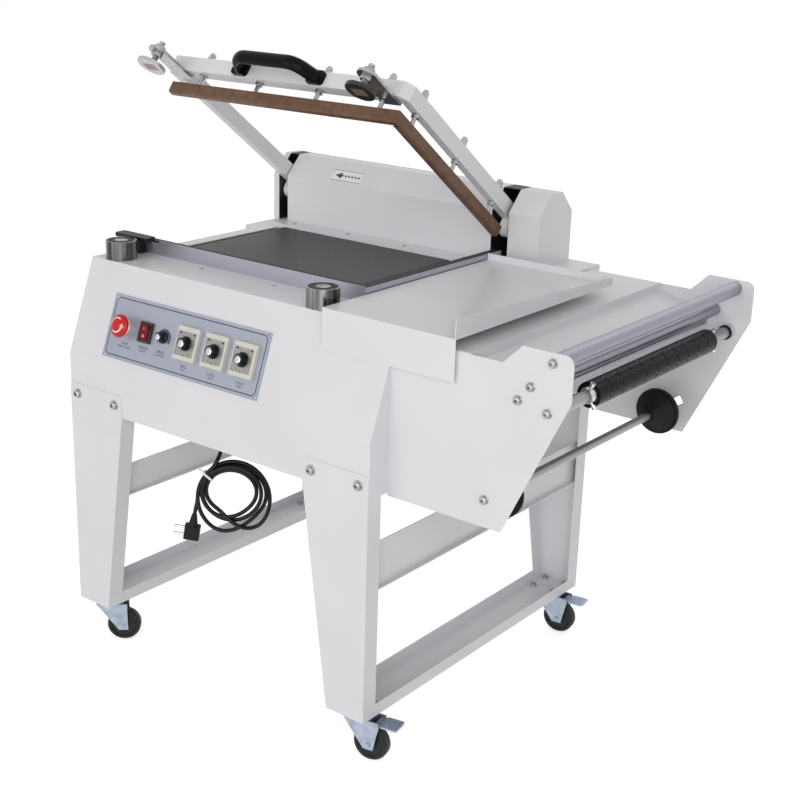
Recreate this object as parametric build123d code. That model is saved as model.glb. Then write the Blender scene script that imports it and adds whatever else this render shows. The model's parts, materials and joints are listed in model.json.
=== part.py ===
from build123d import *
import math
import os

# A manual L-bar film sealer on casters: a sheet-steel cabinet on four legs, a raised sealing arm
# hinged at the back, a short take-away conveyor, an infeed tray and a film unwind bracket.
# Lengths are in millimetres. While modelling, X runs right from the cabinet's left wall, Y runs
# back from its front skirt and Z runs up from the floor. Every piece is then moved so that the
# origin lies on the floor, midway between the cabinet's side walls and its front and back.

# Cabinet
BODY_WIDTH = 694.0
BODY_DEPTH = 663.0
BODY_BOTTOM = 480.0
SKIRT_HEIGHT = 94.0
TABLE_TOP = 740.0
SLOPE_SETBACK = 61.0
SHEET = 2.0

# Legs and rails
LEG_FOOT_HEIGHT = 88.0
LEG_FOOT_WIDTH = 79.0
LEG_TOP_WIDTH = 135.0
LEG_LAP = 40.0
LEG_FLANGE = 30.0
LEG_CORNER_RADIUS = 8.0
RAIL_HEIGHT = 22.0
MID_RAIL_BOTTOM = 316.0
MID_RAIL_LIP = 9.0
LEFT_MID_RAIL_HEIGHT = 57.0
RIGHT_MID_RAIL_HEIGHT = 79.0
LEFT_MID_RAIL_INSET = 98.0

# Rear housing over the arm's pivot
HOUSING_FRONT = 546.0
HOUSING_BACK = 655.0
EAVE_RISE = 34.0
RIDGE_RISE = 72.0
HOUSING_RIDGE_WIDTH = 37.0
LEFT_COVER_LEFT = -6.0
LEFT_COVER_RIGHT = 8.0
CENTRE_COVER_LEFT = 31.0
CENTRE_COVER_RIGHT = 530.0
RIGHT_COVER_LEFT = 566.0
RIGHT_COVER_RIGHT = 632.0
COVER_FLANGE = 54.0
COVER_FLANGE_RISE = 6.0

# Sealing arm, given as it lies closed on the jaw
PIVOT_Y = 573.0
PIVOT_RISE = 59.0
OPEN_ANGLE = 36.8
ARM_WIDTH = 18.0
ARM_HEIGHT = 28.0
ARM_RISE = 9.0
ARM_WALL = 2.0
LEFT_ARM_INNER = 29.0
RIGHT_ARM_OUTER = 558.0
BEAM_FRONT = 148.0
BEAM_DEPTH = 22.0
ARM_CORNER = 14.0
HUB_RADIUS = 17.0
SHAFT_DIAMETER = 20.0
SHAFT_END_OVERHANG = 34.0
SHAFT_CLEARANCE = 0.05
COVER_SHAFT_CLEARANCE = 3.0
SEAL_BAR_WIDTH = 16.0
SEAL_BAR_HEIGHT = 21.0
SEAL_GAP = 0.5
FRONT_SEAL_LEFT = 41.0
SIDE_SEAL_BACK = 540.0
STUD_DIAMETER = 8.0
STUD_CLEARANCE = 0.3
STUD_NUT_ACROSS = 13.0
STUD_NUT_HEIGHT = 6.5
STUD_RISE = 12.0
FRONT_STUD_FIRST = 99.0
FRONT_STUD_PITCH = 136.5
FRONT_STUD_COUNT = 4
SIDE_STUD_FIRST = 202.0
SIDE_STUD_PITCH = 144.5
SIDE_STUD_COUNT = 3

# Lower jaw
JAW_WIDTH = 20.0
JAW_HEIGHT = 21.5
JAW_PAD = 2.5
JAW_LEFT = 34.0

# Holding magnets and the strikers that meet them
MAGNET_DIAMETER = 55.0
MAGNET_HEIGHT = 33.0
MAGNET_Y = 88.0
LEFT_MAGNET_X = 47.0
RIGHT_MAGNET_X = 521.0
MAGNET_CORE_DIAMETER = 24.0
MAGNET_RIM = 3.0
MAGNET_GROOVE = 2.0
STRIKER_DIAMETER = 52.0
STRIKER_THICKNESS = 8.0
STRIKER_GAP = 0.5
STRIKER_BOLT = 10.0
BRACKET_WIDTH = 36.0
BRACKET_THICKNESS = 5.0

# Lift handle on the arm's front beam
HANDLE_LEFT = 194.0
HANDLE_PITCH = 172.0
HANDLE_RISE = 44.0
HANDLE_GRIP_WIDTH = 25.0
HANDLE_GRIP_DEPTH = 18.0
HANDLE_FOOT_LENGTH = 34.0
HANDLE_FOOT_THICKNESS = 7.0

# Conveyor in the table
BELT_FRONT = 176.0
BELT_BACK = 452.0
BELT_TOP = 752.0
BELT_THICKNESS = 2.0
ROLLER_DIAMETER = 40.0
DRIVE_ROLLER_X = 112.0
IDLER_ROLLER_X = 500.0
JOURNAL_DIAMETER = 12.0
RUNNING_CLEARANCE = 0.05
BED_PLATE = 2.0
BED_DROP = 46.0
ROLLER_END_GAP = 1.0
BELT_RUNNING_GAP = 0.4
DISCHARGE_LEFT = 60.0
OUTFEED_NOTCH = 22.0

# Control panel on the sloped front
PANEL_LEFT = 84.0
PANEL_WIDTH = 371.0
PANEL_LOW = 12.0
PANEL_HEIGHT = 113.0
PANEL_THICKNESS = 1.5
CONTROL_LINE = 71.0
ESTOP_X = 132.0
ESTOP_DIAMETER = 40.0
ESTOP_COLLAR_DIAMETER = 30.0
ESTOP_COLLAR_HEIGHT = 13.0
ESTOP_STEM_DIAMETER = 18.0
ESTOP_TRAVEL = 5.0
ESTOP_HEAD_HEIGHT = 13.0
ROCKER_X = 179.0
ROCKER_WIDTH = 19.0
ROCKER_LENGTH = 27.0
ROCKER_HEIGHT = 7.0
ROCKER_BORDER = 4.0
ROCKER_TILT = 7.0
ROCKER_CLEARANCE = 0.7
ROCKER_FLOOR_GAP = 2.3
SPEED_KNOB_X = 221.0
SPEED_KNOB_DIAMETER = 22.0
SPEED_KNOB_HEIGHT = 15.0
KNOB_GAP = 0.3
TIMER_FIRST_X = 281.0
TIMER_PITCH = 65.5
TIMER_COUNT = 3
TIMER_WIDTH = 50.0
TIMER_HEIGHT = 58.0
TIMER_DEPTH = 8.0
TIMER_FACE = 43.0
TIMER_FACE_RECESS = 1.5
TIMER_KNOB_DIAMETER = 25.0
TIMER_KNOB_HEIGHT = 12.0
TIMER_KNOB_EDGE = 0.8
TIMER_SKIRT_HEIGHT = 3.0
TIMER_GRIP_DIAMETER = 20.0

# Film bracket on the right-hand side
FILM_NEAR = 46.0
FILM_FAR = 631.0
FILM_REACH = 316.0
FILM_BOTTOM = 475.0
FILM_FOOT_REACH = 211.0
FILM_EAR_TOP = 767.0
FILM_EAR_HEIGHT = 68.0
FILM_EAR_RISE = 31.0
FILM_EAR_LENGTH = 84.0
FILM_NOTCH_RUN = 32.0
FILM_FLANGE = 24.0
FILM_CORNER_RADIUS = 14.0
TOP_ROLLER_INSET = 33.0
TOP_ROLLER_DROP = 15.0
TOP_ROLLER_DIAMETER = 24.0
MIDDLE_ROLLER_INSET = 67.0
MIDDLE_ROLLER_DROP = 57.0
MIDDLE_ROLLER_DIAMETER = 22.0
LOWER_ROLLER_INSET = 87.0
LOWER_ROLLER_DROP = 81.0
LOWER_ROLLER_DIAMETER = 16.0
PERFORATOR_INSET = 37.0
PERFORATOR_DROP = 90.0
PERFORATOR_SHAFT_DIAMETER = 14.0
PERFORATOR_DIAMETER = 34.0
PERFORATOR_NEAR = 165.0
PERFORATOR_FAR = 545.0
PERFORATOR_SEGMENTS = 7
PERFORATOR_GROOVE = 1.5
COLLAR_LENGTH = 16.0
COLLAR_DIAMETER = 26.0
COLLAR_REACH = 18.0
COLLAR_ARM_WIDTH = 8.0
COLLAR_ARM_LENGTH = 10.0
COLLAR_END_GAP = 6.0
ROLLER_JOURNAL = 10.0
ROLLER_END_PLAY = 0.5
MANDREL_INSET = 30.0
MANDREL_RISE = 44.0
MANDREL_OVERHANG = 6.0
MANDREL_DIAMETER = 14.0
CONE_LARGE_DIAMETER = 75.0
CONE_SMALL_DIAMETER = 34.0
CONE_LENGTH = 38.0
CONE_RIM = 7.0
CONE_CLAMP_LENGTH = 16.0
NEAR_CONE_Y = 86.0
FAR_CONE_Y = 588.0

# Film deck and infeed tray
DECK_RISE = 1.0
SHELF_RUN = 74.0
DECK_STEP = 14.0
SHELF_GAP = 14.0
SHELF_DROP = 12.0
TRAY_LEFT = 561.0
TRAY_RIGHT = 815.0
TRAY_FRONT = 40.0
TRAY_BACK = 494.0
TRAY_TOP = 755.0
TRAY_SHEET = 1.5
TRAY_SKIRT = 67.0
TRAY_BACK_RISE = 12.0
TRAY_SIDE_RISE_FRONT = 31.0
TRAY_SIDE_RISE_BACK = 12.0

# Casters
CASTER_INSET_X = 39.0
CASTER_INSET_Y = 35.0
CASTER_PLATE = 60.0
CASTER_PLATE_THICKNESS = 2.5
CASTER_GAP = 0.3
RACE_DIAMETER = 46.0
RACE_HEIGHT = 8.0
KING_PIN_DIAMETER = 12.0
KING_PIN_CLEARANCE = 0.05
WHEEL_DIAMETER = 63.0
WHEEL_WIDTH = 24.0
WHEEL_CLEARANCE = 1.5
AXLE_DIAMETER = 8.0
AXLE_CLEARANCE = 0.05
CASTER_TRAIL = 27.0
FORK_SHEET = 2.5
PEDAL_WIDTH = 34.0
PEDAL_LENGTH = 32.0
PEDAL_THICKNESS = 3.0
PEDAL_EAR = 6.0
PEDAL_PIN = 4.0
PEDAL_SIDE_GAP = 0.5
CASTER_TURNS = {"front_left": 40.0, "front_right": 11.0, "rear_right": 8.0, "rear_left": 30.0}
BRAKED_CASTERS = ("front_right", "rear_right")

# Mains lead
CORD_DIAMETER = 7.5
GLAND_X = 283.0
GLAND_Y = 97.0
GLAND_DIAMETER = 18.0
GLAND_LENGTH = 26.0
COIL_CENTRE = (308.0, 100.0, 342.0)
COIL_FACING = 37.2
COIL_WIDTH = 137.0
COIL_HEIGHT = 152.0
COIL_BAND = 26.0
COIL_DEPTH = 24.0

ORIGIN = Location((-BODY_WIDTH / 2, -BODY_DEPTH / 2, 0))
X_AXIS = Vector(1, 0, 0)
Y_AXIS = Vector(0, 1, 0)
Z_AXIS = Vector(0, 0, 1)


# Shared shape helpers
def block(x_range, y_range, z_range):
    """A box between two limits on each axis."""
    sizes = [limits[1] - limits[0] for limits in (x_range, y_range, z_range)]
    middle = [(limits[1] + limits[0]) / 2 for limits in (x_range, y_range, z_range)]
    return Pos(*middle) * Box(*sizes)


def slab_x(points, x_range):
    """An outline in Y and Z carried along X."""
    outline = make_face(Plane.YZ * Polyline(*points, close=True))
    return Pos(x_range[0], 0, 0) * extrude(outline, amount=x_range[1] - x_range[0], dir=X_AXIS)


def slab_y(points, y_range):
    """An outline in X and Z carried along Y."""
    outline = make_face(Plane.XZ * Polyline(*points, close=True))
    return Pos(0, y_range[0], 0) * extrude(outline, amount=y_range[1] - y_range[0], dir=Y_AXIS)


def rod_x(diameter, x_range, y, z):
    """A round bar along X."""
    length = x_range[1] - x_range[0]
    return Pos((x_range[0] + x_range[1]) / 2, y, z) * Rot(0, 90, 0) * Cylinder(diameter / 2, length)


def rod_y(diameter, y_range, x, z):
    """A round bar along Y."""
    length = y_range[1] - y_range[0]
    return Pos(x, (y_range[0] + y_range[1]) / 2, z) * Rot(90, 0, 0) * Cylinder(diameter / 2, length)


def rod_z(diameter, z_range, x, y):
    """A round bar along Z."""
    length = z_range[1] - z_range[0]
    return Pos(x, y, (z_range[0] + z_range[1]) / 2) * Cylinder(diameter / 2, length)


def turned(profile):
    """A solid of revolution about Z from an outline of radius and height."""
    outline = make_face(Plane.XZ * Polyline(*profile, close=True))
    return revolve(outline, axis=Axis.Z)


def sheet_outline(points, thickness):
    """The outline of a bent sheet that lies on the left of a run of points."""
    left = []
    for index, (a, b) in enumerate(points):
        before = points[max(index - 1, 0)]
        after = points[min(index + 1, len(points) - 1)]
        incoming = Vector(a - before[0], b - before[1]) if index else Vector(after[0] - a, after[1] - b)
        outgoing = Vector(after[0] - a, after[1] - b) if index < len(points) - 1 else incoming
        normals = [Vector(-run.Y, run.X).normalized() for run in (incoming, outgoing)]
        middle = (normals[0] + normals[1]).normalized()
        reach = thickness / middle.dot(normals[0])
        left.append((a + middle.X * reach, b + middle.Y * reach))
    return list(points) + left[::-1]


def save(name, *solids):
    """Move a piece to the machine's own origin and write its file."""
    moved = [ORIGIN * solid for solid in solids]
    whole = moved[0] if len(moved) == 1 else Compound(children=moved)
    export_step(whole, f"parts/{name}.step")


# Values that follow from the sizes above
KNEE_HEIGHT = BODY_BOTTOM + SKIRT_HEIGHT
PIVOT_HEIGHT = TABLE_TOP + PIVOT_RISE
ARM_BOTTOM = PIVOT_HEIGHT + ARM_RISE
HOUSING_EAVE = PIVOT_HEIGHT + EAVE_RISE
HOUSING_RIDGE = PIVOT_HEIGHT + RIDGE_RISE
FILM_TOP = FILM_EAR_TOP - FILM_EAR_RISE
FILM_EDGE_HEIGHT = FILM_EAR_TOP - FILM_EAR_HEIGHT
TOP_ROLLER_OUT = FILM_REACH - TOP_ROLLER_INSET
TOP_ROLLER_HEIGHT = FILM_EAR_TOP - TOP_ROLLER_DROP
MIDDLE_ROLLER_OUT = FILM_REACH - MIDDLE_ROLLER_INSET
MIDDLE_ROLLER_HEIGHT = FILM_EAR_TOP - MIDDLE_ROLLER_DROP
LOWER_ROLLER_OUT = FILM_REACH - LOWER_ROLLER_INSET
LOWER_ROLLER_HEIGHT = FILM_EAR_TOP - LOWER_ROLLER_DROP
PERFORATOR_OUT = FILM_REACH - PERFORATOR_INSET
PERFORATOR_HEIGHT = FILM_EAR_TOP - PERFORATOR_DROP
MANDREL_OUT = FILM_FOOT_REACH - MANDREL_INSET
MANDREL_HEIGHT = FILM_BOTTOM + MANDREL_RISE
DECK_TOP = FILM_TOP + DECK_RISE
SHELF_REACH = LOWER_ROLLER_OUT - SHELF_GAP
DECK_REACH = SHELF_REACH - SHELF_RUN
SLOPE_LENGTH = math.hypot(SLOPE_SETBACK, TABLE_TOP - KNEE_HEIGHT)
SLOPE_PLANE = Plane(
    origin=(0, 0, KNEE_HEIGHT),
    x_dir=(1, 0, 0),
    z_dir=(0, KNEE_HEIGHT - TABLE_TOP, SLOPE_SETBACK),
)
PANEL_PLANE = SLOPE_PLANE.offset(PANEL_THICKNESS)
BEAM_BACK = BEAM_FRONT + BEAM_DEPTH
ARM_TOP = ARM_BOTTOM + ARM_HEIGHT
SEAL_MIDDLE = (BEAM_FRONT + BEAM_BACK) / 2 + 1.0
JAW_FRONT = SEAL_MIDDLE - JAW_WIDTH / 2
JAW_BACK = JAW_FRONT + JAW_WIDTH
JAW_TOP = TABLE_TOP + JAW_HEIGHT
SEAL_BOTTOM = JAW_TOP + JAW_PAD + SEAL_GAP
SEAL_TOP = SEAL_BOTTOM + SEAL_BAR_HEIGHT
LEFT_ARM_X = LEFT_ARM_INNER - ARM_WIDTH / 2
RIGHT_ARM_X = RIGHT_ARM_OUTER - ARM_WIDTH / 2
ROLLER_Z = BELT_TOP - BELT_THICKNESS - ROLLER_DIAMETER / 2
BED_FRONT = BELT_FRONT - ROLLER_END_GAP - BED_PLATE
BED_BACK = BELT_BACK + ROLLER_END_GAP + BED_PLATE
BELT_RIGHT = IDLER_ROLLER_X + ROLLER_DIAMETER / 2 + BELT_THICKNESS
PIVOT = Axis((0, PIVOT_Y, PIVOT_HEIGHT), (1, 0, 0))


def raised(solid):
    """Turn a piece of the arm from closed to its open rest pose."""
    return solid.rotate(PIVOT, -OPEN_ANGLE)


# Cabinet: one bent and welded sheet shell, open below, with the conveyor's window in its top
def cabinet_shell():
    profile = [
        (0, BODY_BOTTOM),
        (0, KNEE_HEIGHT),
        (SLOPE_SETBACK, TABLE_TOP),
        (BODY_DEPTH, TABLE_TOP),
        (BODY_DEPTH, BODY_BOTTOM),
    ]
    full = slab_x(profile, (0, BODY_WIDTH))
    underside = full.faces().sort_by(Axis.Z)[0]
    shell = offset(full, amount=-SHEET, openings=underside)
    window = block(
        (-SHEET, BELT_RIGHT + BED_PLATE), (BED_FRONT, BED_BACK), (TABLE_TOP - OUTFEED_NOTCH, TABLE_TOP + SHEET)
    )
    return shell - window


def base_pan():
    pan = block((SHEET, BODY_WIDTH - SHEET), (SHEET, BODY_DEPTH - SHEET), (BODY_BOTTOM, BODY_BOTTOM + SHEET))
    return pan - rod_z(GLAND_DIAMETER, (BODY_BOTTOM - SHEET, BODY_BOTTOM + 2 * SHEET), GLAND_X, GLAND_Y)


# Legs: a tapered face plate that laps the cabinet, with a flange along each edge
def left_front_leg():
    lap_top = BODY_BOTTOM + LEG_LAP
    face_points = [
        (0, LEG_FOOT_HEIGHT),
        (LEG_FOOT_WIDTH, LEG_FOOT_HEIGHT),
        (LEG_TOP_WIDTH, BODY_BOTTOM),
        (LEG_TOP_WIDTH, lap_top),
        (0, lap_top),
    ]
    face = slab_y(face_points, (-SHEET, 0))
    top_corners = face.edges().filter_by(Axis.Y).group_by(Axis.Z)[-1]
    face = fillet(top_corners, LEG_CORNER_RADIUS)
    outer = block((0, SHEET), (0, LEG_FLANGE), (LEG_FOOT_HEIGHT, BODY_BOTTOM))
    inner_points = [
        (LEG_FOOT_WIDTH - SHEET, LEG_FOOT_HEIGHT),
        (LEG_FOOT_WIDTH, LEG_FOOT_HEIGHT),
        (LEG_TOP_WIDTH, BODY_BOTTOM),
        (LEG_TOP_WIDTH - SHEET, BODY_BOTTOM),
    ]
    inner = slab_y(inner_points, (0, LEG_FLANGE))
    return face + outer + inner


def to_right(solid):
    """The mirror image of a left-hand piece on the cabinet's right side."""
    return solid.mirror(Plane.YZ.offset(BODY_WIDTH / 2))


def to_back(solid):
    """The mirror image of a front piece on the cabinet's back."""
    return solid.mirror(Plane.XZ.offset(-BODY_DEPTH / 2))


def left_lower_rail():
    web = block(
        (SHEET, LEG_FOOT_WIDTH - SHEET), (0, BODY_DEPTH), (LEG_FOOT_HEIGHT, LEG_FOOT_HEIGHT + SHEET)
    )
    between = (LEG_FLANGE, BODY_DEPTH - LEG_FLANGE)
    lip_height = (LEG_FOOT_HEIGHT, LEG_FOOT_HEIGHT + RAIL_HEIGHT)
    outer = block((0, SHEET), between, lip_height)
    inner = block((LEG_FOOT_WIDTH - SHEET, LEG_FOOT_WIDTH), between, lip_height)
    return web + outer + inner


def mid_rail(web_left, height):
    """An angle between a front and a back leg, its lip turned out at the foot."""
    points = [
        (web_left, MID_RAIL_BOTTOM),
        (web_left + SHEET + MID_RAIL_LIP, MID_RAIL_BOTTOM),
        (web_left + SHEET + MID_RAIL_LIP, MID_RAIL_BOTTOM + SHEET),
        (web_left + SHEET, MID_RAIL_BOTTOM + SHEET),
        (web_left + SHEET, MID_RAIL_BOTTOM + height),
        (web_left, MID_RAIL_BOTTOM + height),
    ]
    return slab_y(points, (0, BODY_DEPTH))


# Rear housing: one roof-shaped section in three covers, with the arm slots between them
def housing_section():
    slope = (HOUSING_BACK - HOUSING_FRONT - HOUSING_RIDGE_WIDTH) / 2
    return [
        (HOUSING_FRONT, TABLE_TOP),
        (HOUSING_FRONT, HOUSING_EAVE),
        (HOUSING_FRONT + slope, HOUSING_RIDGE),
        (HOUSING_BACK - slope, HOUSING_RIDGE),
        (HOUSING_BACK, HOUSING_EAVE),
        (HOUSING_BACK, TABLE_TOP),
    ]


def cover(x_range, shaft_range):
    """A closed-ended cover, open below, with room for the pivot shaft through its end walls."""
    full = slab_x(housing_section(), x_range)
    shell = offset(full, amount=-SHEET, openings=full.faces().sort_by(Axis.Z)[0])
    return shell - rod_x(SHAFT_DIAMETER + 2 * COVER_SHAFT_CLEARANCE, shaft_range, PIVOT_Y, PIVOT_HEIGHT)


def centre_cover():
    x_range = (CENTRE_COVER_LEFT, CENTRE_COVER_RIGHT)
    shell = cover(x_range, (CENTRE_COVER_LEFT - SHEET, CENTRE_COVER_RIGHT + SHEET))
    front = HOUSING_FRONT - COVER_FLANGE
    flange_run = [
        (HOUSING_FRONT, TABLE_TOP),
        (HOUSING_FRONT, TABLE_TOP + SHEET),
        (front + SHEET, TABLE_TOP + SHEET),
        (front + SHEET, TABLE_TOP + COVER_FLANGE_RISE),
        (front, TABLE_TOP + COVER_FLANGE_RISE),
        (front, TABLE_TOP),
    ]
    return shell + slab_x(flange_run, x_range)


def slot_shield(x_range):
    """A bent sheet behind an arm slot: it closes the back and the ridge, and leaves the front to the arm."""
    back_to_ridge = housing_section()[:1:-1]
    return slab_x(sheet_outline(back_to_ridge, SHEET), x_range)


def pivot_bearing(x_middle):
    """A pillow block that stands on the table and carries the pivot shaft."""
    half = 15.0
    foot = 38.0
    foot_height = 12.0
    eye = SHAFT_DIAMETER / 2 + 13.0
    x_range = (x_middle - half, x_middle + half)
    base = block(x_range, (PIVOT_Y - eye, PIVOT_Y + foot), (TABLE_TOP, TABLE_TOP + foot_height))
    post = block(x_range, (PIVOT_Y - eye, PIVOT_Y + eye), (TABLE_TOP, PIVOT_HEIGHT))
    ring = rod_x(2 * eye, x_range, PIVOT_Y, PIVOT_HEIGHT)
    bore = rod_x(
        SHAFT_DIAMETER + 2 * SHAFT_CLEARANCE, (x_range[0] - 1, x_range[1] + 1), PIVOT_Y, PIVOT_HEIGHT
    )
    return base + post + ring - bore


def return_spring():
    """A close-wound torsion spring round the shaft, against the right cover's inner wall."""
    wire = 5.0
    turns = 7
    inner = SHAFT_DIAMETER / 2 + 3.5
    groove = 1.2
    outer_edge = []
    inner_edge = []
    for turn in range(turns):
        outer_edge += [(inner + wire - groove, turn * wire), (inner + wire, (turn + 0.5) * wire)]
        inner_edge += [(inner + groove, turn * wire), (inner, (turn + 0.5) * wire)]
    outer_edge.append((inner + wire - groove, turns * wire))
    inner_edge.append((inner + groove, turns * wire))
    ring = turned(outer_edge + inner_edge[::-1])
    return Pos(RIGHT_COVER_LEFT + SHEET, PIVOT_Y, PIVOT_HEIGHT) * Rot(0, 90, 0) * ring


# Lower jaw: two aluminium bars in an L, each with a rubber pad along its top
def jaw_bars():
    front = block((JAW_LEFT, RIGHT_ARM_OUTER - 1.0), (JAW_FRONT, JAW_BACK), (TABLE_TOP, JAW_TOP))
    side = block(
        (RIGHT_ARM_X - JAW_WIDTH / 2 + 1.0, RIGHT_ARM_OUTER - 1.0),
        (JAW_BACK, SIDE_SEAL_BACK),
        (TABLE_TOP, JAW_TOP),
    )
    return front, side


def jaw_pads():
    half = SEAL_BAR_WIDTH / 2
    top = (JAW_TOP, JAW_TOP + JAW_PAD)
    front = block((JAW_LEFT, RIGHT_ARM_X + half), (SEAL_MIDDLE - half, SEAL_MIDDLE + half), top)
    side = block((RIGHT_ARM_X - half, RIGHT_ARM_X + half), (SEAL_MIDDLE + half, SIDE_SEAL_BACK), top)
    return front, side


def stop_bracket():
    """A tee-shaped rest on the table in front of the jaw's left end."""
    post_width = 16.0
    post_depth = 16.0
    cap_width = 82.0
    cap_depth = 24.0
    cap_thickness = 7.0
    rise = 28.0
    middle = JAW_LEFT + 3.0
    post = block(
        (middle - post_width / 2, middle + post_width / 2),
        (JAW_FRONT - post_depth, JAW_FRONT),
        (TABLE_TOP, TABLE_TOP + rise),
    )
    cap_back = JAW_FRONT - post_depth / 2
    cap = block(
        (middle - cap_width / 2, middle + cap_width / 2),
        (cap_back - cap_depth, cap_back),
        (TABLE_TOP + rise, TABLE_TOP + rise + cap_thickness),
    )
    cap = fillet(cap.edges().filter_by(Axis.Z), 3.0)
    return post + cap


def electromagnet(x_middle):
    """A round pot magnet with a groove between its rim and its core."""
    rim = MAGNET_DIAMETER / 2
    core = MAGNET_CORE_DIAMETER / 2
    profile = [
        (0, 0),
        (rim, 0),
        (rim, MAGNET_HEIGHT),
        (rim - MAGNET_RIM, MAGNET_HEIGHT),
        (rim - MAGNET_RIM, MAGNET_HEIGHT - MAGNET_GROOVE),
        (core, MAGNET_HEIGHT - MAGNET_GROOVE),
        (core, MAGNET_HEIGHT),
        (0, MAGNET_HEIGHT),
    ]
    return Pos(x_middle, MAGNET_Y, TABLE_TOP) * turned(profile)


# Conveyor: side plates with a slider bed, two rollers and an endless belt
def conveyor_bed():
    """Side plates that carry the rollers, a slider under the belt and a low chute to the outfeed notch."""
    bottom = TABLE_TOP - BED_DROP
    top = BELT_TOP - BELT_THICKNESS - BELT_RUNNING_GAP
    right = BELT_RIGHT + BED_PLATE
    x_range = (DISCHARGE_LEFT, right)
    front = block(x_range, (BED_FRONT, BED_FRONT + BED_PLATE), (bottom, top))
    back = block(x_range, (BED_BACK - BED_PLATE, BED_BACK), (bottom, top))
    clear = ROLLER_DIAMETER / 2 + 4.0
    slider = block(
        (DRIVE_ROLLER_X + clear, IDLER_ROLLER_X - clear), (BED_FRONT, BED_BACK), (top - BED_PLATE, top)
    )
    discharge_right = DRIVE_ROLLER_X - ROLLER_DIAMETER / 2 - BELT_THICKNESS - 2.0
    discharge = block((DISCHARGE_LEFT, discharge_right), (BED_FRONT, BED_BACK), (top - BED_PLATE, top))
    chute_floor = TABLE_TOP - OUTFEED_NOTCH
    chute_bottom = chute_floor - BED_PLATE
    lip_right = DISCHARGE_LEFT + BED_PLATE
    discharge_lip = block((DISCHARGE_LEFT, lip_right), (BED_FRONT, BED_BACK), (chute_bottom, top))
    chute = block((SHEET, lip_right), (BED_FRONT, BED_BACK), (chute_bottom, chute_floor))
    for wall in (BED_FRONT, BED_BACK - BED_PLATE):
        chute += block((SHEET, lip_right), (wall, wall + BED_PLATE), (chute_bottom, TABLE_TOP))
    bed = front + back + slider + discharge + discharge_lip + chute
    for roller_x in (DRIVE_ROLLER_X, IDLER_ROLLER_X):
        bed -= rod_y(
            JOURNAL_DIAMETER + 2 * RUNNING_CLEARANCE, (BED_FRONT - 1, BED_BACK + 1), roller_x, ROLLER_Z
        )
    return bed


def conveyor_belt():
    """A thin closed loop round both rollers."""
    middle = (DRIVE_ROLLER_X + IDLER_ROLLER_X) / 2
    span = IDLER_ROLLER_X - DRIVE_ROLLER_X
    inner = ROLLER_DIAMETER / 2 + BELT_RUNNING_GAP
    outer = ROLLER_DIAMETER / 2 + BELT_THICKNESS
    loop = SlotCenterToCenter(span, 2 * outer) - SlotCenterToCenter(span, 2 * inner)
    band = extrude(Plane.XZ * loop, amount=BELT_BACK - BELT_FRONT, dir=Y_AXIS)
    return Pos(middle, BELT_FRONT, ROLLER_Z) * band


def conveyor_roller(roller_x, back_reach):
    drum = rod_y(ROLLER_DIAMETER, (BELT_FRONT, BELT_BACK), roller_x, ROLLER_Z)
    journal = rod_y(JOURNAL_DIAMETER, (BED_FRONT, BED_BACK + back_reach), roller_x, ROLLER_Z)
    return drum + journal


GEARBOX_SIZE = 56.0
GEARBOX_DEPTH = 40.0
MOTOR_DIAMETER = 58.0
MOTOR_LENGTH = 90.0
MOTOR_SHAFT_REACH = 15.0


def gear_motor():
    """A small gear motor on the bed's back plate, driving the left roller."""
    top = TABLE_TOP - SHEET - 1.0
    z_range = (top - GEARBOX_SIZE, top)
    x_range = (DRIVE_ROLLER_X - GEARBOX_SIZE / 2, DRIVE_ROLLER_X + GEARBOX_SIZE / 2)
    gearbox = block(x_range, (BED_BACK, BED_BACK + GEARBOX_DEPTH), z_range)
    gearbox = chamfer(gearbox.edges().filter_by(Axis.Y), 4.0)
    motor_start = BED_BACK + GEARBOX_DEPTH
    motor = rod_y(
        MOTOR_DIAMETER, (motor_start, motor_start + MOTOR_LENGTH), DRIVE_ROLLER_X, top - 2.0 - MOTOR_DIAMETER / 2
    )
    socket = rod_y(
        JOURNAL_DIAMETER + 2 * RUNNING_CLEARANCE,
        (BED_BACK - 1, BED_BACK + MOTOR_SHAFT_REACH + 2.0),
        DRIVE_ROLLER_X,
        ROLLER_Z,
    )
    return gearbox + motor - socket


TRANSFORMER_X = 485.0
TRANSFORMER_Y = 330.0
CORE_WIDTH = 110.0
CORE_DEPTH = 60.0
CORE_HEIGHT = 96.0
CORE_LIMB = 22.0
WINDING_WIDTH = 34.0
WINDING_DEPTH = 88.0
WINDING_CORNER = 8.0


def about(middle, length):
    """The two ends of a length centred on a middle."""
    return middle - length / 2, middle + length / 2


def transformer():
    """The sealing transformer on the base pan: a laminated core with one wound leg."""
    floor = BODY_BOTTOM + SHEET
    window_range = (floor + CORE_LIMB, floor + CORE_HEIGHT - CORE_LIMB)
    core = block(about(TRANSFORMER_X, CORE_WIDTH), about(TRANSFORMER_Y, CORE_DEPTH), (floor, floor + CORE_HEIGHT))
    window = block(
        about(TRANSFORMER_X, CORE_WIDTH - 2 * CORE_LIMB), about(TRANSFORMER_Y, CORE_DEPTH + 2 * SHEET), window_range
    )
    winding = block(about(TRANSFORMER_X, WINDING_WIDTH), about(TRANSFORMER_Y, WINDING_DEPTH), window_range)
    winding = fillet(winding.edges().filter_by(Axis.Z), WINDING_CORNER)
    return core - window + winding


# Control panel on the slope, in panel coordinates: along X, up the slope, outwards
def on_panel(x, up, solid):
    return PANEL_PLANE * Pos(x, up, 0) * solid


def control_panel():
    middle = (PANEL_LEFT + PANEL_WIDTH / 2, PANEL_LOW + PANEL_HEIGHT / 2, PANEL_THICKNESS / 2)
    plate = Pos(*middle) * Box(PANEL_WIDTH, PANEL_HEIGHT, PANEL_THICKNESS)
    return SLOPE_PLANE * fillet(plate.edges().filter_by(Axis.Z), 2.0)


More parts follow.
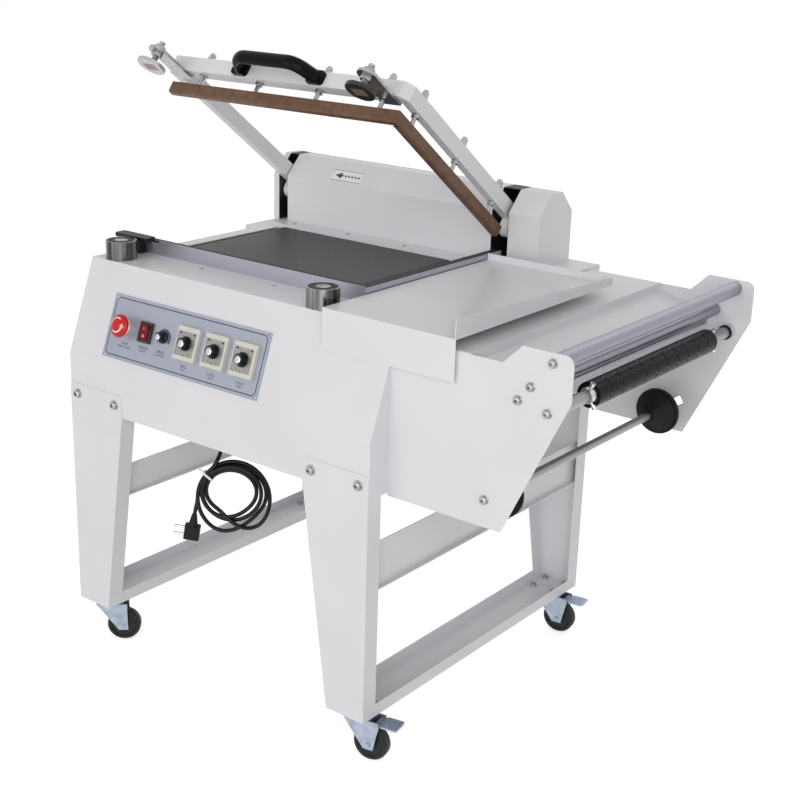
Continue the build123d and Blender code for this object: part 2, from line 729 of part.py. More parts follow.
def estop_collar():
    radius = ESTOP_COLLAR_DIAMETER / 2
    bore = ESTOP_STEM_DIAMETER / 2 + RUNNING_CLEARANCE
    floor = 2.0
    profile = [
        (0, 0),
        (radius, 0),
        (radius, ESTOP_COLLAR_HEIGHT - 2.0),
        (radius - 2.0, ESTOP_COLLAR_HEIGHT),
        (bore, ESTOP_COLLAR_HEIGHT),
        (bore, floor),
        (0, floor),
    ]
    return on_panel(ESTOP_X, CONTROL_LINE, turned(profile))


def estop_button():
    """A mushroom head on a stem that slides in its collar."""
    head = ESTOP_DIAMETER / 2
    stem = ESTOP_STEM_DIAMETER / 2
    base = ESTOP_COLLAR_HEIGHT + ESTOP_TRAVEL + KNOB_GAP
    stem_end = ESTOP_COLLAR_HEIGHT - 5.0
    top = base + ESTOP_HEAD_HEIGHT
    edge_height = 5.0
    dome = ESTOP_HEAD_HEIGHT - edge_height
    dome_radius = (head ** 2 + dome ** 2) / (2 * dome)
    half_angle = math.asin(head / dome_radius) / 2
    halfway = (dome_radius * math.sin(half_angle), 0, top - dome_radius * (1 - math.cos(half_angle)))
    foot = [(0, stem_end), (stem, stem_end), (stem, base), (head - 1.0, base), (head, base + 1.0), (head, base + edge_height)]
    outline = Polyline(*[(radius, 0, height) for radius, height in foot])
    outline += ThreePointArc((head, 0, base + edge_height), halfway, (0, 0, top))
    outline += Line((0, 0, top), (0, 0, stem_end))
    return on_panel(ESTOP_X, CONTROL_LINE, revolve(make_face(outline), Axis.Z))


def rocker_bezel():
    width = ROCKER_WIDTH + 2 * (ROCKER_CLEARANCE + ROCKER_BORDER)
    length = ROCKER_LENGTH + 2 * (ROCKER_CLEARANCE + ROCKER_BORDER)
    height = ROCKER_FLOOR_GAP + ROCKER_HEIGHT / 2
    frame = Pos(0, 0, height / 2) * Box(width, length, height)
    frame = fillet(frame.edges().filter_by(Axis.Z), 2.0)
    opening = Box(ROCKER_WIDTH + 2 * ROCKER_CLEARANCE, ROCKER_LENGTH + 2 * ROCKER_CLEARANCE, 4 * height)
    return on_panel(ROCKER_X, CONTROL_LINE, frame - opening)


def power_rocker():
    """A rocker with two sloped pads, shown tilted to one side."""
    half = ROCKER_LENGTH / 2
    dip = half * math.tan(math.radians(ROCKER_TILT))
    section = [
        (-half, ROCKER_FLOOR_GAP),
        (half, ROCKER_FLOOR_GAP),
        (half, ROCKER_FLOOR_GAP + ROCKER_HEIGHT),
        (0, ROCKER_FLOOR_GAP + ROCKER_HEIGHT - dip),
        (-half, ROCKER_FLOOR_GAP + ROCKER_HEIGHT),
    ]
    pad = slab_x(section, (-ROCKER_WIDTH / 2, ROCKER_WIDTH / 2))
    tilt_axis = Axis((0, 0, ROCKER_FLOOR_GAP + ROCKER_HEIGHT / 2), (1, 0, 0))
    return on_panel(ROCKER_X, CONTROL_LINE, pad.rotate(tilt_axis, ROCKER_TILT))


def speed_knob():
    """A skirted pointer knob with a flat cap."""
    radius = SPEED_KNOB_DIAMETER / 2
    top = KNOB_GAP + SPEED_KNOB_HEIGHT
    profile = [
        (0, KNOB_GAP),
        (radius, KNOB_GAP),
        (radius, KNOB_GAP + 3.0),
        (radius - 3.0, KNOB_GAP + 5.0),
        (radius - 3.6, top - 1.0),
        (radius - 4.6, top),
        (0, top),
    ]
    knob = turned(profile)
    mark = Pos(0, radius - 3.4, top - 4.0) * Box(1.4, 2.4, 10.0)
    return on_panel(SPEED_KNOB_X, CONTROL_LINE, knob - mark)


def timer_x(index):
    return TIMER_FIRST_X + index * TIMER_PITCH


def timer_body(index):
    """A plug-in timer's front frame with a shallow recess for its dial."""
    frame = Pos(0, 0, TIMER_DEPTH / 2) * Box(TIMER_WIDTH, TIMER_HEIGHT, TIMER_DEPTH)
    frame = chamfer(frame.faces().sort_by(Axis.Z)[-1].edges(), 1.5)
    recess = Pos(0, 0, TIMER_DEPTH) * Box(TIMER_FACE, TIMER_FACE, 2 * TIMER_FACE_RECESS)
    return on_panel(timer_x(index), CONTROL_LINE, frame - recess)


def timer_knob(index):
    """A round setting knob: a skirt, a tapered grip and a flat top with a turned edge."""
    base = TIMER_DEPTH - TIMER_FACE_RECESS + KNOB_GAP
    skirt = TIMER_KNOB_DIAMETER / 2
    top = base + TIMER_KNOB_HEIGHT
    edge = TIMER_KNOB_EDGE
    profile = [
        (0, base),
        (skirt, base),
        (skirt, base + TIMER_SKIRT_HEIGHT - edge),
        (skirt - edge, base + TIMER_SKIRT_HEIGHT),
        (TIMER_GRIP_DIAMETER / 2, base + TIMER_SKIRT_HEIGHT),
        (TIMER_GRIP_DIAMETER / 2 - edge, top - edge),
        (TIMER_GRIP_DIAMETER / 2 - 2 * edge, top),
        (0, top),
    ]
    return on_panel(timer_x(index), CONTROL_LINE, turned(profile))


# Sealing arm: a welded tube frame with an eye on the pivot shaft at the end of each side arm
def arm_stud_places():
    front = [(FRONT_STUD_FIRST + i * FRONT_STUD_PITCH, SEAL_MIDDLE) for i in range(FRONT_STUD_COUNT)]
    side = [(RIGHT_ARM_X, SIDE_STUD_FIRST + i * SIDE_STUD_PITCH) for i in range(SIDE_STUD_COUNT)]
    return front + side


def arm_frame():
    left = LEFT_ARM_INNER - ARM_WIDTH
    right = RIGHT_ARM_OUTER
    tail = PIVOT_Y - HUB_RADIUS
    plan = [
        (left, tail),
        (left, BEAM_FRONT + ARM_CORNER),
        (left + ARM_CORNER, BEAM_FRONT),
        (right - ARM_CORNER, BEAM_FRONT),
        (right, BEAM_FRONT + ARM_CORNER),
        (right, tail),
        (right - ARM_WIDTH, tail),
        (right - ARM_WIDTH, BEAM_BACK),
        (LEFT_ARM_INNER, BEAM_BACK),
        (LEFT_ARM_INNER, tail),
    ]
    outline = make_face(Polyline(*plan, close=True))
    full = Pos(0, 0, ARM_BOTTOM) * extrude(outline, amount=ARM_HEIGHT, dir=Z_AXIS)
    ends = full.faces().sort_by(Axis.Y)[-2:]
    frame = offset(full, amount=-ARM_WALL, openings=ends)
    for arm_x in (LEFT_ARM_X, RIGHT_ARM_X):
        x_range = (arm_x - ARM_WIDTH / 2, arm_x + ARM_WIDTH / 2)
        neck = block(x_range, (tail, PIVOT_Y), (PIVOT_HEIGHT, ARM_TOP))
        eye = rod_x(2 * HUB_RADIUS, x_range, PIVOT_Y, PIVOT_HEIGHT)
        hub = neck + eye
        bore = rod_x(
            SHAFT_DIAMETER + 2 * SHAFT_CLEARANCE, (x_range[0] - 1, x_range[1] + 1), PIVOT_Y, PIVOT_HEIGHT
        )
        frame += hub - bore
    for stud_x, stud_y in arm_stud_places():
        frame -= rod_z(
            STUD_DIAMETER + 2 * STUD_CLEARANCE, (ARM_BOTTOM - 1, ARM_TOP + 1), stud_x, stud_y
        )
    return frame


def pivot_shaft():
    x_range = (LEFT_ARM_INNER - ARM_WIDTH, RIGHT_COVER_LEFT + SHAFT_END_OVERHANG)
    return rod_x(SHAFT_DIAMETER, x_range, PIVOT_Y, PIVOT_HEIGHT)


def seal_bars():
    half = SEAL_BAR_WIDTH / 2
    z_range = (SEAL_BOTTOM, SEAL_TOP)
    front = block((FRONT_SEAL_LEFT, RIGHT_ARM_X + half), (SEAL_MIDDLE - half, SEAL_MIDDLE + half), z_range)
    side = block((RIGHT_ARM_X - half, RIGHT_ARM_X + half), (SEAL_MIDDLE + half, SIDE_SEAL_BACK), z_range)
    blunt = 3.0
    front = chamfer(front.edges().filter_by(Axis.X).group_by(Axis.Z)[0], blunt)
    side = chamfer(side.edges().filter_by(Axis.Y).group_by(Axis.Z)[0], blunt)
    return front, side


def hexagon(across, z_range, x, y):
    prism = extrude(RegularPolygon(across / 2, 6, major_radius=False), amount=z_range[1] - z_range[0])
    return Pos(x, y, z_range[0]) * prism


def seal_stud(x, y):
    """A levelling stud with a nut below the arm, a nut above it and a domed end."""
    shank = rod_z(STUD_DIAMETER, (SEAL_TOP, ARM_TOP + STUD_NUT_HEIGHT), x, y)
    under = hexagon(STUD_NUT_ACROSS, (ARM_BOTTOM - STUD_NUT_HEIGHT, ARM_BOTTOM), x, y)
    over = hexagon(STUD_NUT_ACROSS, (ARM_TOP, ARM_TOP + STUD_NUT_HEIGHT), x, y)
    radius = STUD_NUT_ACROSS / 2 - 0.5
    shoulder = STUD_RISE - radius
    profile = [(0, 0), (radius, 0), (radius, shoulder), (radius * 0.7, STUD_RISE - 2.0), (0, STUD_RISE)]
    dome = Pos(x, y, ARM_TOP + STUD_NUT_HEIGHT) * turned(profile)
    return shank + under + over + dome


def striker_bracket(x):
    """A flat bar under the front beam, with a round end over the magnet."""
    radius = BRACKET_WIDTH / 2
    plan = Pos(x, (MAGNET_Y + BEAM_BACK) / 2) * Rectangle(BRACKET_WIDTH, BEAM_BACK - MAGNET_Y)
    plan += Pos(x, MAGNET_Y) * Circle(radius)
    plan -= Pos(x, MAGNET_Y) * Circle(STRIKER_BOLT / 2 + STUD_CLEARANCE)
    plate = Pos(0, 0, ARM_BOTTOM - BRACKET_THICKNESS) * extrude(plan, amount=BRACKET_THICKNESS, dir=Z_AXIS)
    for stud_x, stud_y in arm_stud_places():
        plate -= rod_z(
            STUD_NUT_ACROSS + 6.0, (ARM_BOTTOM - STUD_NUT_HEIGHT - 1, ARM_BOTTOM + 1), stud_x, stud_y
        )
    return plate


def striker(x):
    """A steel disc on a bolt through its bracket, with a nut on each side."""
    face = TABLE_TOP + MAGNET_HEIGHT + STRIKER_GAP
    radius = STRIKER_DIAMETER / 2
    disc_top = face + STRIKER_THICKNESS
    profile = [
        (0, 0),
        (radius - 1.0, 0),
        (radius, 1.0),
        (radius, STRIKER_THICKNESS - 2.0),
        (radius - 8.0, STRIKER_THICKNESS),
        (0, STRIKER_THICKNESS),
    ]
    disc = Pos(x, MAGNET_Y, face) * turned(profile)
    nut = 8.0
    bracket_base = ARM_BOTTOM - BRACKET_THICKNESS
    bolt = rod_z(STRIKER_BOLT, (disc_top, ARM_BOTTOM + nut + 8.0), x, MAGNET_Y)
    under = hexagon(17.0, (bracket_base - nut, bracket_base), x, MAGNET_Y)
    over = hexagon(17.0, (ARM_BOTTOM, ARM_BOTTOM + nut), x, MAGNET_Y)
    return disc + bolt + under + over


def lift_handle():
    """A moulded bow grip on two flat feet."""
    middle_z = ARM_BOTTOM + ARM_HEIGHT / 2
    right = HANDLE_LEFT + HANDLE_PITCH
    seat = BEAM_FRONT - HANDLE_FOOT_THICKNESS / 2
    top = BEAM_FRONT - HANDLE_RISE
    lean = HANDLE_RISE * 0.45
    route = FilletPolyline(
        (HANDLE_LEFT, seat, middle_z),
        (HANDLE_LEFT + lean, top, middle_z),
        (right - lean, top, middle_z),
        (right, seat, middle_z),
        radius=HANDLE_RISE * 0.7,
    )
    start = Plane(origin=route @ 0, z_dir=route % 0, x_dir=(0, 0, 1))
    section = start * Ellipse(HANDLE_GRIP_WIDTH / 2, HANDLE_GRIP_DEPTH / 2)
    grip = sweep(section, path=route)
    grip -= block((HANDLE_LEFT - 80, right + 80), (BEAM_FRONT, BEAM_FRONT + 60), (middle_z - 60, middle_z + 60))
    for foot_x in (HANDLE_LEFT, right):
        foot = block(
            (foot_x - HANDLE_FOOT_LENGTH / 2, foot_x + HANDLE_FOOT_LENGTH / 2),
            (BEAM_FRONT - HANDLE_FOOT_THICKNESS, BEAM_FRONT),
            (middle_z - HANDLE_GRIP_WIDTH / 2, middle_z + HANDLE_GRIP_WIDTH / 2),
        )
        grip += fillet(foot.edges().filter_by(Axis.Y), 6.0)
    return grip


# Film bracket: two plates on the cabinet's right wall, with rollers and a mandrel between them
def film_x(out):
    return BODY_WIDTH + out


def film_plate(y_range, flange_range):
    points = [
        (film_x(0), FILM_BOTTOM),
        (film_x(FILM_FOOT_REACH), FILM_BOTTOM),
        (film_x(FILM_REACH), FILM_EDGE_HEIGHT),
        (film_x(FILM_REACH), FILM_EAR_TOP),
        (film_x(FILM_REACH - FILM_EAR_LENGTH), FILM_EAR_TOP),
        (film_x(FILM_REACH - FILM_EAR_LENGTH - FILM_NOTCH_RUN), FILM_TOP),
        (film_x(0), FILM_TOP),
    ]
    plate = slab_y(points, y_range)
    ear_corner = plate.edges().filter_by(Axis.Y).sort_by(lambda e: e.center().X + e.center().Z)[-1]
    plate = fillet(ear_corner, FILM_CORNER_RADIUS)
    plate += block((film_x(0), film_x(SHEET)), flange_range, (FILM_BOTTOM, FILM_TOP - 4.0))
    bores = [
        (TOP_ROLLER_OUT, TOP_ROLLER_HEIGHT, ROLLER_JOURNAL),
        (MIDDLE_ROLLER_OUT, MIDDLE_ROLLER_HEIGHT, ROLLER_JOURNAL),
        (LOWER_ROLLER_OUT, LOWER_ROLLER_HEIGHT, ROLLER_JOURNAL),
        (PERFORATOR_OUT, PERFORATOR_HEIGHT, ROLLER_JOURNAL),
        (MANDREL_OUT, MANDREL_HEIGHT, MANDREL_DIAMETER),
    ]
    wide = (y_range[0] - 1, y_range[1] + 1)
    for out, height, diameter in bores:
        plate -= rod_y(diameter + 2 * RUNNING_CLEARANCE, wide, film_x(out), height)
    return plate


def film_plates():
    near = film_plate((FILM_NEAR, FILM_NEAR + SHEET), (FILM_NEAR + SHEET, FILM_NEAR + FILM_FLANGE))
    far = film_plate((FILM_FAR - SHEET, FILM_FAR), (FILM_FAR - FILM_FLANGE, FILM_FAR - SHEET))
    mouth_width = MANDREL_DIAMETER + 2 * RUNNING_CLEARANCE
    mouth = Pos(mouth_width, 0, 0) * Box(2 * mouth_width, 4 * SHEET, mouth_width)
    lean = Rot(0, -35, 0)
    far -= Pos(film_x(MANDREL_OUT), FILM_FAR - SHEET / 2, MANDREL_HEIGHT) * lean * mouth
    return near, far


def film_roller(out, height, diameter):
    """A plain roller with a thinner journal in each plate."""
    x = film_x(out)
    near = FILM_NEAR + SHEET + ROLLER_END_PLAY
    far = FILM_FAR - SHEET - ROLLER_END_PLAY
    drum = rod_y(diameter, (near, far), x, height)
    drum = chamfer(drum.edges().filter_by(GeomType.CIRCLE), 1.0)
    return drum + rod_y(ROLLER_JOURNAL, (FILM_NEAR, FILM_FAR), x, height)


def perforator_shaft():
    """The perforator's shaft with a three-armed locking collar at each end of the sleeve."""
    x = film_x(PERFORATOR_OUT)
    near = FILM_NEAR + SHEET + ROLLER_END_PLAY
    far = FILM_FAR - SHEET - ROLLER_END_PLAY
    shaft = rod_y(PERFORATOR_SHAFT_DIAMETER, (near, far), x, PERFORATOR_HEIGHT)
    shaft += rod_y(ROLLER_JOURNAL, (FILM_NEAR, FILM_FAR), x, PERFORATOR_HEIGHT)
    far_collar = far - COLLAR_LENGTH - COLLAR_END_GAP
    for start in (PERFORATOR_NEAR - COLLAR_LENGTH, far_collar):
        shaft += rod_y(COLLAR_DIAMETER, (start, start + COLLAR_LENGTH), x, PERFORATOR_HEIGHT)
        for turn in range(3):
            arm = Pos(0, 0, COLLAR_REACH / 2) * Box(COLLAR_ARM_WIDTH, COLLAR_ARM_LENGTH, COLLAR_REACH)
            place = Pos(x, start + COLLAR_LENGTH / 2, PERFORATOR_HEIGHT) * Rot(0, 90 + 120 * turn, 0)
            shaft += place * arm
    return shaft


def perforator_sleeve():
    """A black sleeve cut into segments by shallow grooves."""
    length = PERFORATOR_FAR - PERFORATOR_NEAR
    pitch = length / PERFORATOR_SEGMENTS
    radius = PERFORATOR_DIAMETER / 2
    bore = PERFORATOR_SHAFT_DIAMETER / 2 + RUNNING_CLEARANCE
    outer = []
    for segment in range(PERFORATOR_SEGMENTS):
        outer.append((radius, segment * pitch))
        outer.append((radius, (segment + 1) * pitch - PERFORATOR_GROOVE))
        if segment < PERFORATOR_SEGMENTS - 1:
            outer.append((radius - PERFORATOR_GROOVE, (segment + 1) * pitch - PERFORATOR_GROOVE))
            outer.append((radius - PERFORATOR_GROOVE, (segment + 1) * pitch))
    end = outer[-1][1]
    sleeve = turned(outer + [(bore, end), (bore, 0)])
    return Pos(film_x(PERFORATOR_OUT), PERFORATOR_NEAR, PERFORATOR_HEIGHT) * Rot(-90, 0, 0) * sleeve


def film_mandrel():
    return rod_y(MANDREL_DIAMETER, (FILM_NEAR, FILM_FAR + MANDREL_OVERHANG), film_x(MANDREL_OUT), MANDREL_HEIGHT)


def film_cone(y, turn):
    """A rubber core chuck: a rim, a tapered nose and a clamp hub behind."""
    bore = MANDREL_DIAMETER / 2 + RUNNING_CLEARANCE
    large = CONE_LARGE_DIAMETER / 2
    small = CONE_SMALL_DIAMETER / 2
    profile = [
        (bore, -CONE_CLAMP_LENGTH),
        (small, -CONE_CLAMP_LENGTH),
        (small, 0),
        (large, 0),
        (large, CONE_RIM),
        (large - 4.0, CONE_RIM),
        (small, CONE_LENGTH),
        (bore, CONE_LENGTH),
    ]
    return Pos(film_x(MANDREL_OUT), y, MANDREL_HEIGHT) * Rot(turn, 0, 0) * turned(profile)


def film_deck():
    """A folded deck between the plates: a flat, a step down and a shelf towards the rollers."""
    run = [
        (film_x(SHELF_REACH), DECK_TOP - SHEET - DECK_STEP - SHELF_DROP),
        (film_x(DECK_REACH), DECK_TOP - SHEET - DECK_STEP),
        (film_x(DECK_REACH), DECK_TOP - SHEET),
        (film_x(SHEET), DECK_TOP - SHEET),
    ]
    points = sheet_outline(run[::-1], SHEET)
    return slab_y(points, (FILM_NEAR + SHEET, FILM_FAR - SHEET))


def infeed_tray():
    """A folded tray: front skirt, left foot, low back lip and a tapered upstand on the right."""
    under = TRAY_TOP - TRAY_SHEET
    x_range = (TRAY_LEFT, TRAY_RIGHT)
    top = block(x_range, (TRAY_FRONT, TRAY_BACK), (under, TRAY_TOP))
    skirt = block(x_range, (TRAY_FRONT, TRAY_FRONT + TRAY_SHEET), (TRAY_TOP - TRAY_SKIRT, TRAY_TOP))
    foot = block(
        (TRAY_LEFT, TRAY_LEFT + TRAY_SHEET), (SLOPE_SETBACK + SHEET, TRAY_BACK), (TABLE_TOP, TRAY_TOP)
    )
    back = block(x_range, (TRAY_BACK - TRAY_SHEET, TRAY_BACK), (under, TRAY_TOP + TRAY_BACK_RISE))
    upstand_points = [
        (TRAY_FRONT, under),
        (TRAY_BACK, under),
        (TRAY_BACK, TRAY_TOP + TRAY_SIDE_RISE_BACK),
        (TRAY_FRONT, TRAY_TOP + TRAY_SIDE_RISE_FRONT),
    ]
    upstand = slab_x(upstand_points, (TRAY_RIGHT - TRAY_SHEET, TRAY_RIGHT))
    front_corner = upstand.edges().filter_by(Axis.X).sort_by(lambda e: e.center().Z - e.center().Y)[-1]
    upstand = fillet(front_corner, 8.0)
    return top + skirt + foot + back + upstand


# Casters: a fixed top plate, a swivelling fork, a wheel on its axle and a brake pedal
CASTER_SPOTS = {
    "front_left": (CASTER_INSET_X, CASTER_INSET_Y),
    "front_right": (BODY_WIDTH - CASTER_INSET_X, CASTER_INSET_Y),
    "rear_right": (BODY_WIDTH - CASTER_INSET_X, BODY_DEPTH - CASTER_INSET_Y),
    "rear_left": (CASTER_INSET_X, BODY_DEPTH - CASTER_INSET_Y),
}
PLATE_BOTTOM = LEG_FOOT_HEIGHT - CASTER_PLATE_THICKNESS
FORK_TOP = PLATE_BOTTOM - CASTER_GAP
CROWN_TOP = FORK_TOP - RACE_HEIGHT
WHEEL_Z = WHEEL_DIAMETER / 2
FORK_INSIDE = WHEEL_WIDTH / 2 + WHEEL_CLEARANCE
PEDAL_HINGE_X = CASTER_TRAIL + 12.0
PEDAL_HINGE_Z = CROWN_TOP - 6.0


def placed_caster(spot, solid):
    """Stand a caster piece, modelled trailing along X, on its spot at its own swivel turn."""
    x, y = CASTER_SPOTS[spot]
    return Pos(x, y, 0) * Rot(0, 0, CASTER_TURNS[spot]) * solid


def caster_plate(spot):
    half = CASTER_PLATE / 2
    plate = block((-half, half), (-half, half), (PLATE_BOTTOM, LEG_FOOT_HEIGHT))
    plate = fillet(plate.edges().filter_by(Axis.Z), 6.0)
    pin = rod_z(KING_PIN_DIAMETER, (CROWN_TOP - FORK_SHEET - 2.0, PLATE_BOTTOM), 0, 0)
    x, y = CASTER_SPOTS[spot]
    return Pos(x, y, 0) * (plate + pin)


def fork(braked):
    """A pressed fork: a race and crown on top, two tapered cheeks and the axle between them."""
    race = rod_z(RACE_DIAMETER, (CROWN_TOP, FORK_TOP), 0, 0)
    outside = FORK_INSIDE + FORK_SHEET
    crown = block((-RACE_DIAMETER / 2, CASTER_TRAIL), (-outside, outside), (CROWN_TOP - FORK_SHEET, CROWN_TOP))
    ear = PEDAL_HINGE_X + PEDAL_EAR if braked else CASTER_TRAIL + 8.0
    cheek_points = [
        (-RACE_DIAMETER / 2, CROWN_TOP),
        (ear, CROWN_TOP),
        (ear, CROWN_TOP - 2 * PEDAL_EAR),
        (CASTER_TRAIL + 9.0, WHEEL_Z - 8.0),
        (CASTER_TRAIL - 9.0, WHEEL_Z - 8.0),
    ]
    cheeks = slab_y(cheek_points, (FORK_INSIDE, outside)) + slab_y(cheek_points, (-outside, -FORK_INSIDE))
    axle = rod_y(AXLE_DIAMETER, (-outside - 3.0, outside + 3.0), CASTER_TRAIL, WHEEL_Z)
    bore = rod_z(KING_PIN_DIAMETER + 2 * KING_PIN_CLEARANCE, (CROWN_TOP - 20.0, FORK_TOP + 1.0), 0, 0)
    whole = race + crown + cheeks + axle - bore
    if braked:
        whole -= rod_y(PEDAL_PIN + 2 * AXLE_CLEARANCE, (-outside - 1.0, outside + 1.0), PEDAL_HINGE_X, PEDAL_HINGE_Z)
    return whole


def wheel():
    """A solid wheel with a rounded tread and a recessed hub on each face."""
    radius = WHEEL_DIAMETER / 2
    half = WHEEL_WIDTH / 2
    bore = AXLE_DIAMETER / 2 + AXLE_CLEARANCE
    hub = 10.0
    recess = radius - 9.0
    profile = [
        (bore, -half),
        (hub, -half),
        (hub, -half + 4.0),
        (recess, -half + 4.0),
        (recess + 2.0, -half + 1.5),
        (radius - 3.0, -half + 1.5),
        (radius, -half + 6.0),
        (radius, half - 6.0),
        (radius - 3.0, half - 1.5),
        (recess + 2.0, half - 1.5),
        (recess, half - 4.0),
        (hub, half - 4.0),
        (hub, half),
        (bore, half),
    ]
    return Pos(CASTER_TRAIL, 0, WHEEL_Z) * Rot(90, 0, 0) * turned(profile)


def pedal():
    """A ribbed foot plate on a neck, hinged on a pin between the fork's cheeks."""
    half = PEDAL_WIDTH / 2
    neck_half = FORK_INSIDE - PEDAL_SIDE_GAP
    base = PEDAL_HINGE_Z
    wide_start = PEDAL_HINGE_X + PEDAL_EAR + 2.0
    z_range = (base, base + PEDAL_THICKNESS)
    neck = block((PEDAL_HINGE_X, wide_start + 4.0), (-neck_half, neck_half), z_range)
    plate = block((wide_start, wide_start + PEDAL_LENGTH), (-half, half), z_range)
    plate = fillet(plate.edges().filter_by(Axis.Z), 4.0)
    for rib in range(4):
        rib_x = wide_start + 7.0 + rib * 5.5
        plate += block((rib_x, rib_x + 2.0), (-half + 3.0, half - 3.0), (base, base + PEDAL_THICKNESS + 1.2))
    barrel = rod_y(2 * PEDAL_THICKNESS, (-neck_half, neck_half), PEDAL_HINGE_X, PEDAL_HINGE_Z)
    reach = FORK_INSIDE + FORK_SHEET
    return neck + plate + barrel + rod_y(PEDAL_PIN, (-reach, reach), PEDAL_HINGE_X, PEDAL_HINGE_Z)


# Mains lead: a gland under the pan, a short drop to a hanging coil, and a tail to the plug
COIL_RIGHT = Vector(math.cos(math.radians(COIL_FACING)), math.sin(math.radians(COIL_FACING)), 0)
COIL_NORMAL = Vector(math.sin(math.radians(COIL_FACING)), -math.cos(math.radians(COIL_FACING)), 0)


def coil_point(across, up, out=0.0):
    """A point given in the coil's own plane: across it, up it and out of it."""
    return Vector(*COIL_CENTRE) + COIL_RIGHT * across + Vector(0, 0, up) + COIL_NORMAL * out


GLAND_FOOT = BODY_BOTTOM - GLAND_LENGTH
LEAD_ROUTE = [
    Vector(GLAND_X, GLAND_Y, GLAND_FOOT),
    Vector(GLAND_X, GLAND_Y, GLAND_FOOT - 22.0),
    coil_point(-31.0, 68.0),
    coil_point(-41.0, 50.0),
]
TAIL_ROUTE = [
    coil_point(-58.5, 22.0),
    coil_point(-64.0, 4.0),
    coil_point(-68.0, -14.0),
    coil_point(-70.5, -31.0),
]


def cord_tube(name, route):
    """A round cord along straight runs joined by the largest tangent arcs that they allow."""
    radii = []
    for before, corner, after in zip(route, route[1:], route[2:]):
        turn = (corner - before).get_angle(after - corner)
        shorter = min((corner - before).length, (after - corner).length)
        radii.append(0.45 * shorter / math.tan(math.radians(turn) / 2))
    print(name, "radii", [round(radius, 1) for radius in radii])
    path = FilletPolyline(*route, radius=radii)
    start = Plane(origin=path @ 0, z_dir=path % 0)
    tube = sweep(start * Circle(CORD_DIAMETER / 2), path=path)
    expected = path.length * math.pi * CORD_DIAMETER ** 2 / 4
    print(name, "length", round(path.length, 1), "volume over section", round(tube.volume / expected, 4))
    return tube


def cord_gland():
    """A tapered strain relief below the pan, with a flange above it."""
    radius = GLAND_DIAMETER / 2
    hole = CORD_DIAMETER / 2
    profile = [
        (0, 0),
        (hole + 2.0, 0),
        (radius - 1.0, GLAND_LENGTH - 6.0),
        (radius + 4.0, GLAND_LENGTH - 6.0),
        (radius + 4.0, GLAND_LENGTH),
        (radius, GLAND_LENGTH),
        (radius, GLAND_LENGTH + SHEET),
        (0, GLAND_LENGTH + SHEET),
    ]
    return Pos(GLAND_X, GLAND_Y, GLAND_FOOT) * turned(profile)


def cord_coil():
    """The outer shape of the hanging turns: a flat oval ring."""
    ring = Ellipse(COIL_WIDTH / 2, COIL_HEIGHT / 2)
    ring -= Ellipse(COIL_WIDTH / 2 - COIL_BAND, COIL_HEIGHT / 2 - COIL_BAND)
    facing = Plane(origin=COIL_CENTRE, x_dir=COIL_RIGHT, z_dir=COIL_NORMAL)
    return facing * extrude(ring, amount=COIL_DEPTH / 2, both=True)


PLUG_WIDTH = 28.0
PLUG_HEIGHT = 26.0
PLUG_DEPTH = 18.0
RELIEF_LENGTH = 22.0
PIN_LENGTH = 19.0
PIN_DIAMETER = 4.8


def power_plug():
    """An angled plug: a tapered neck along the tail, a block body and two round pins to the side."""
    end = TAIL_ROUTE[-1]
    along = (TAIL_ROUTE[-1] - TAIL_ROUTE[-2]).normalized()
    neck_plane = Plane(origin=end, z_dir=along, x_dir=COIL_NORMAL)
    neck_profile = [(0, 0), (CORD_DIAMETER / 2 + 1.0, 0), (9.0, RELIEF_LENGTH), (0, RELIEF_LENGTH)]
    neck = neck_plane * turned(neck_profile)
    body = Box(PLUG_DEPTH, PLUG_WIDTH, PLUG_HEIGHT)
    body = fillet(body.edges().filter_by(Axis.Z), 4.0)
    plug = neck + neck_plane * Pos(0, 0, RELIEF_LENGTH + PLUG_HEIGHT / 2 - 1.0) * body
    side = -1.0 if neck_plane.y_dir.dot(COIL_RIGHT) > 0 else 1.0
    for offset_along in (-7.0, 7.0):
        pin = Pos(0, side * (PLUG_WIDTH / 2 + PIN_LENGTH / 2 - 1.0), 0) * Rot(90, 0, 0)
        pin *= Cylinder(PIN_DIAMETER / 2, PIN_LENGTH)
        plug += neck_plane * Pos(0, 0, RELIEF_LENGTH + PLUG_HEIGHT / 2 - 1.0 + offset_along) * pin
    return plug


os.makedirs("parts", exist_ok=True)

# Fixed structure
save("cabinet_shell", cabinet_shell())
save("base_pan", base_pan())
left_leg = left_front_leg()
front_legs = [left_leg, to_right(left_leg)]
save("legs", *front_legs, *[to_back(leg) for leg in front_legs])
left_rail = left_lower_rail()
right_web = BODY_WIDTH - SHEET - MID_RAIL_LIP - SHEET
upper_rails = [
    mid_rail(LEFT_MID_RAIL_INSET, LEFT_MID_RAIL_HEIGHT),
    mid_rail(right_web, RIGHT_MID_RAIL_HEIGHT),
]
save("side_rails", left_rail, to_right(left_rail), *upper_rails)
save("centre_cover", centre_cover())
left_cover = cover((LEFT_COVER_LEFT, LEFT_COVER_RIGHT), (LEFT_COVER_RIGHT, LEFT_COVER_RIGHT + 1))
right_cover = cover((RIGHT_COVER_LEFT, RIGHT_COVER_RIGHT), (RIGHT_COVER_LEFT - 1, RIGHT_COVER_LEFT + 2 * SHEET))
save("end_covers", left_cover, right_cover)
left_slot = (LEFT_COVER_RIGHT, CENTRE_COVER_LEFT)
right_slot = (CENTRE_COVER_RIGHT, RIGHT_COVER_LEFT)
save("slot_shields", slot_shield(left_slot), slot_shield(right_slot))
save("pivot_bearings", pivot_bearing(CENTRE_COVER_LEFT + 30.0), pivot_bearing(CENTRE_COVER_RIGHT - 30.0))
save("return_spring", return_spring())
save("lower_jaw", *jaw_bars())
save("jaw_pads", *jaw_pads())
save("stop_bracket", stop_bracket())
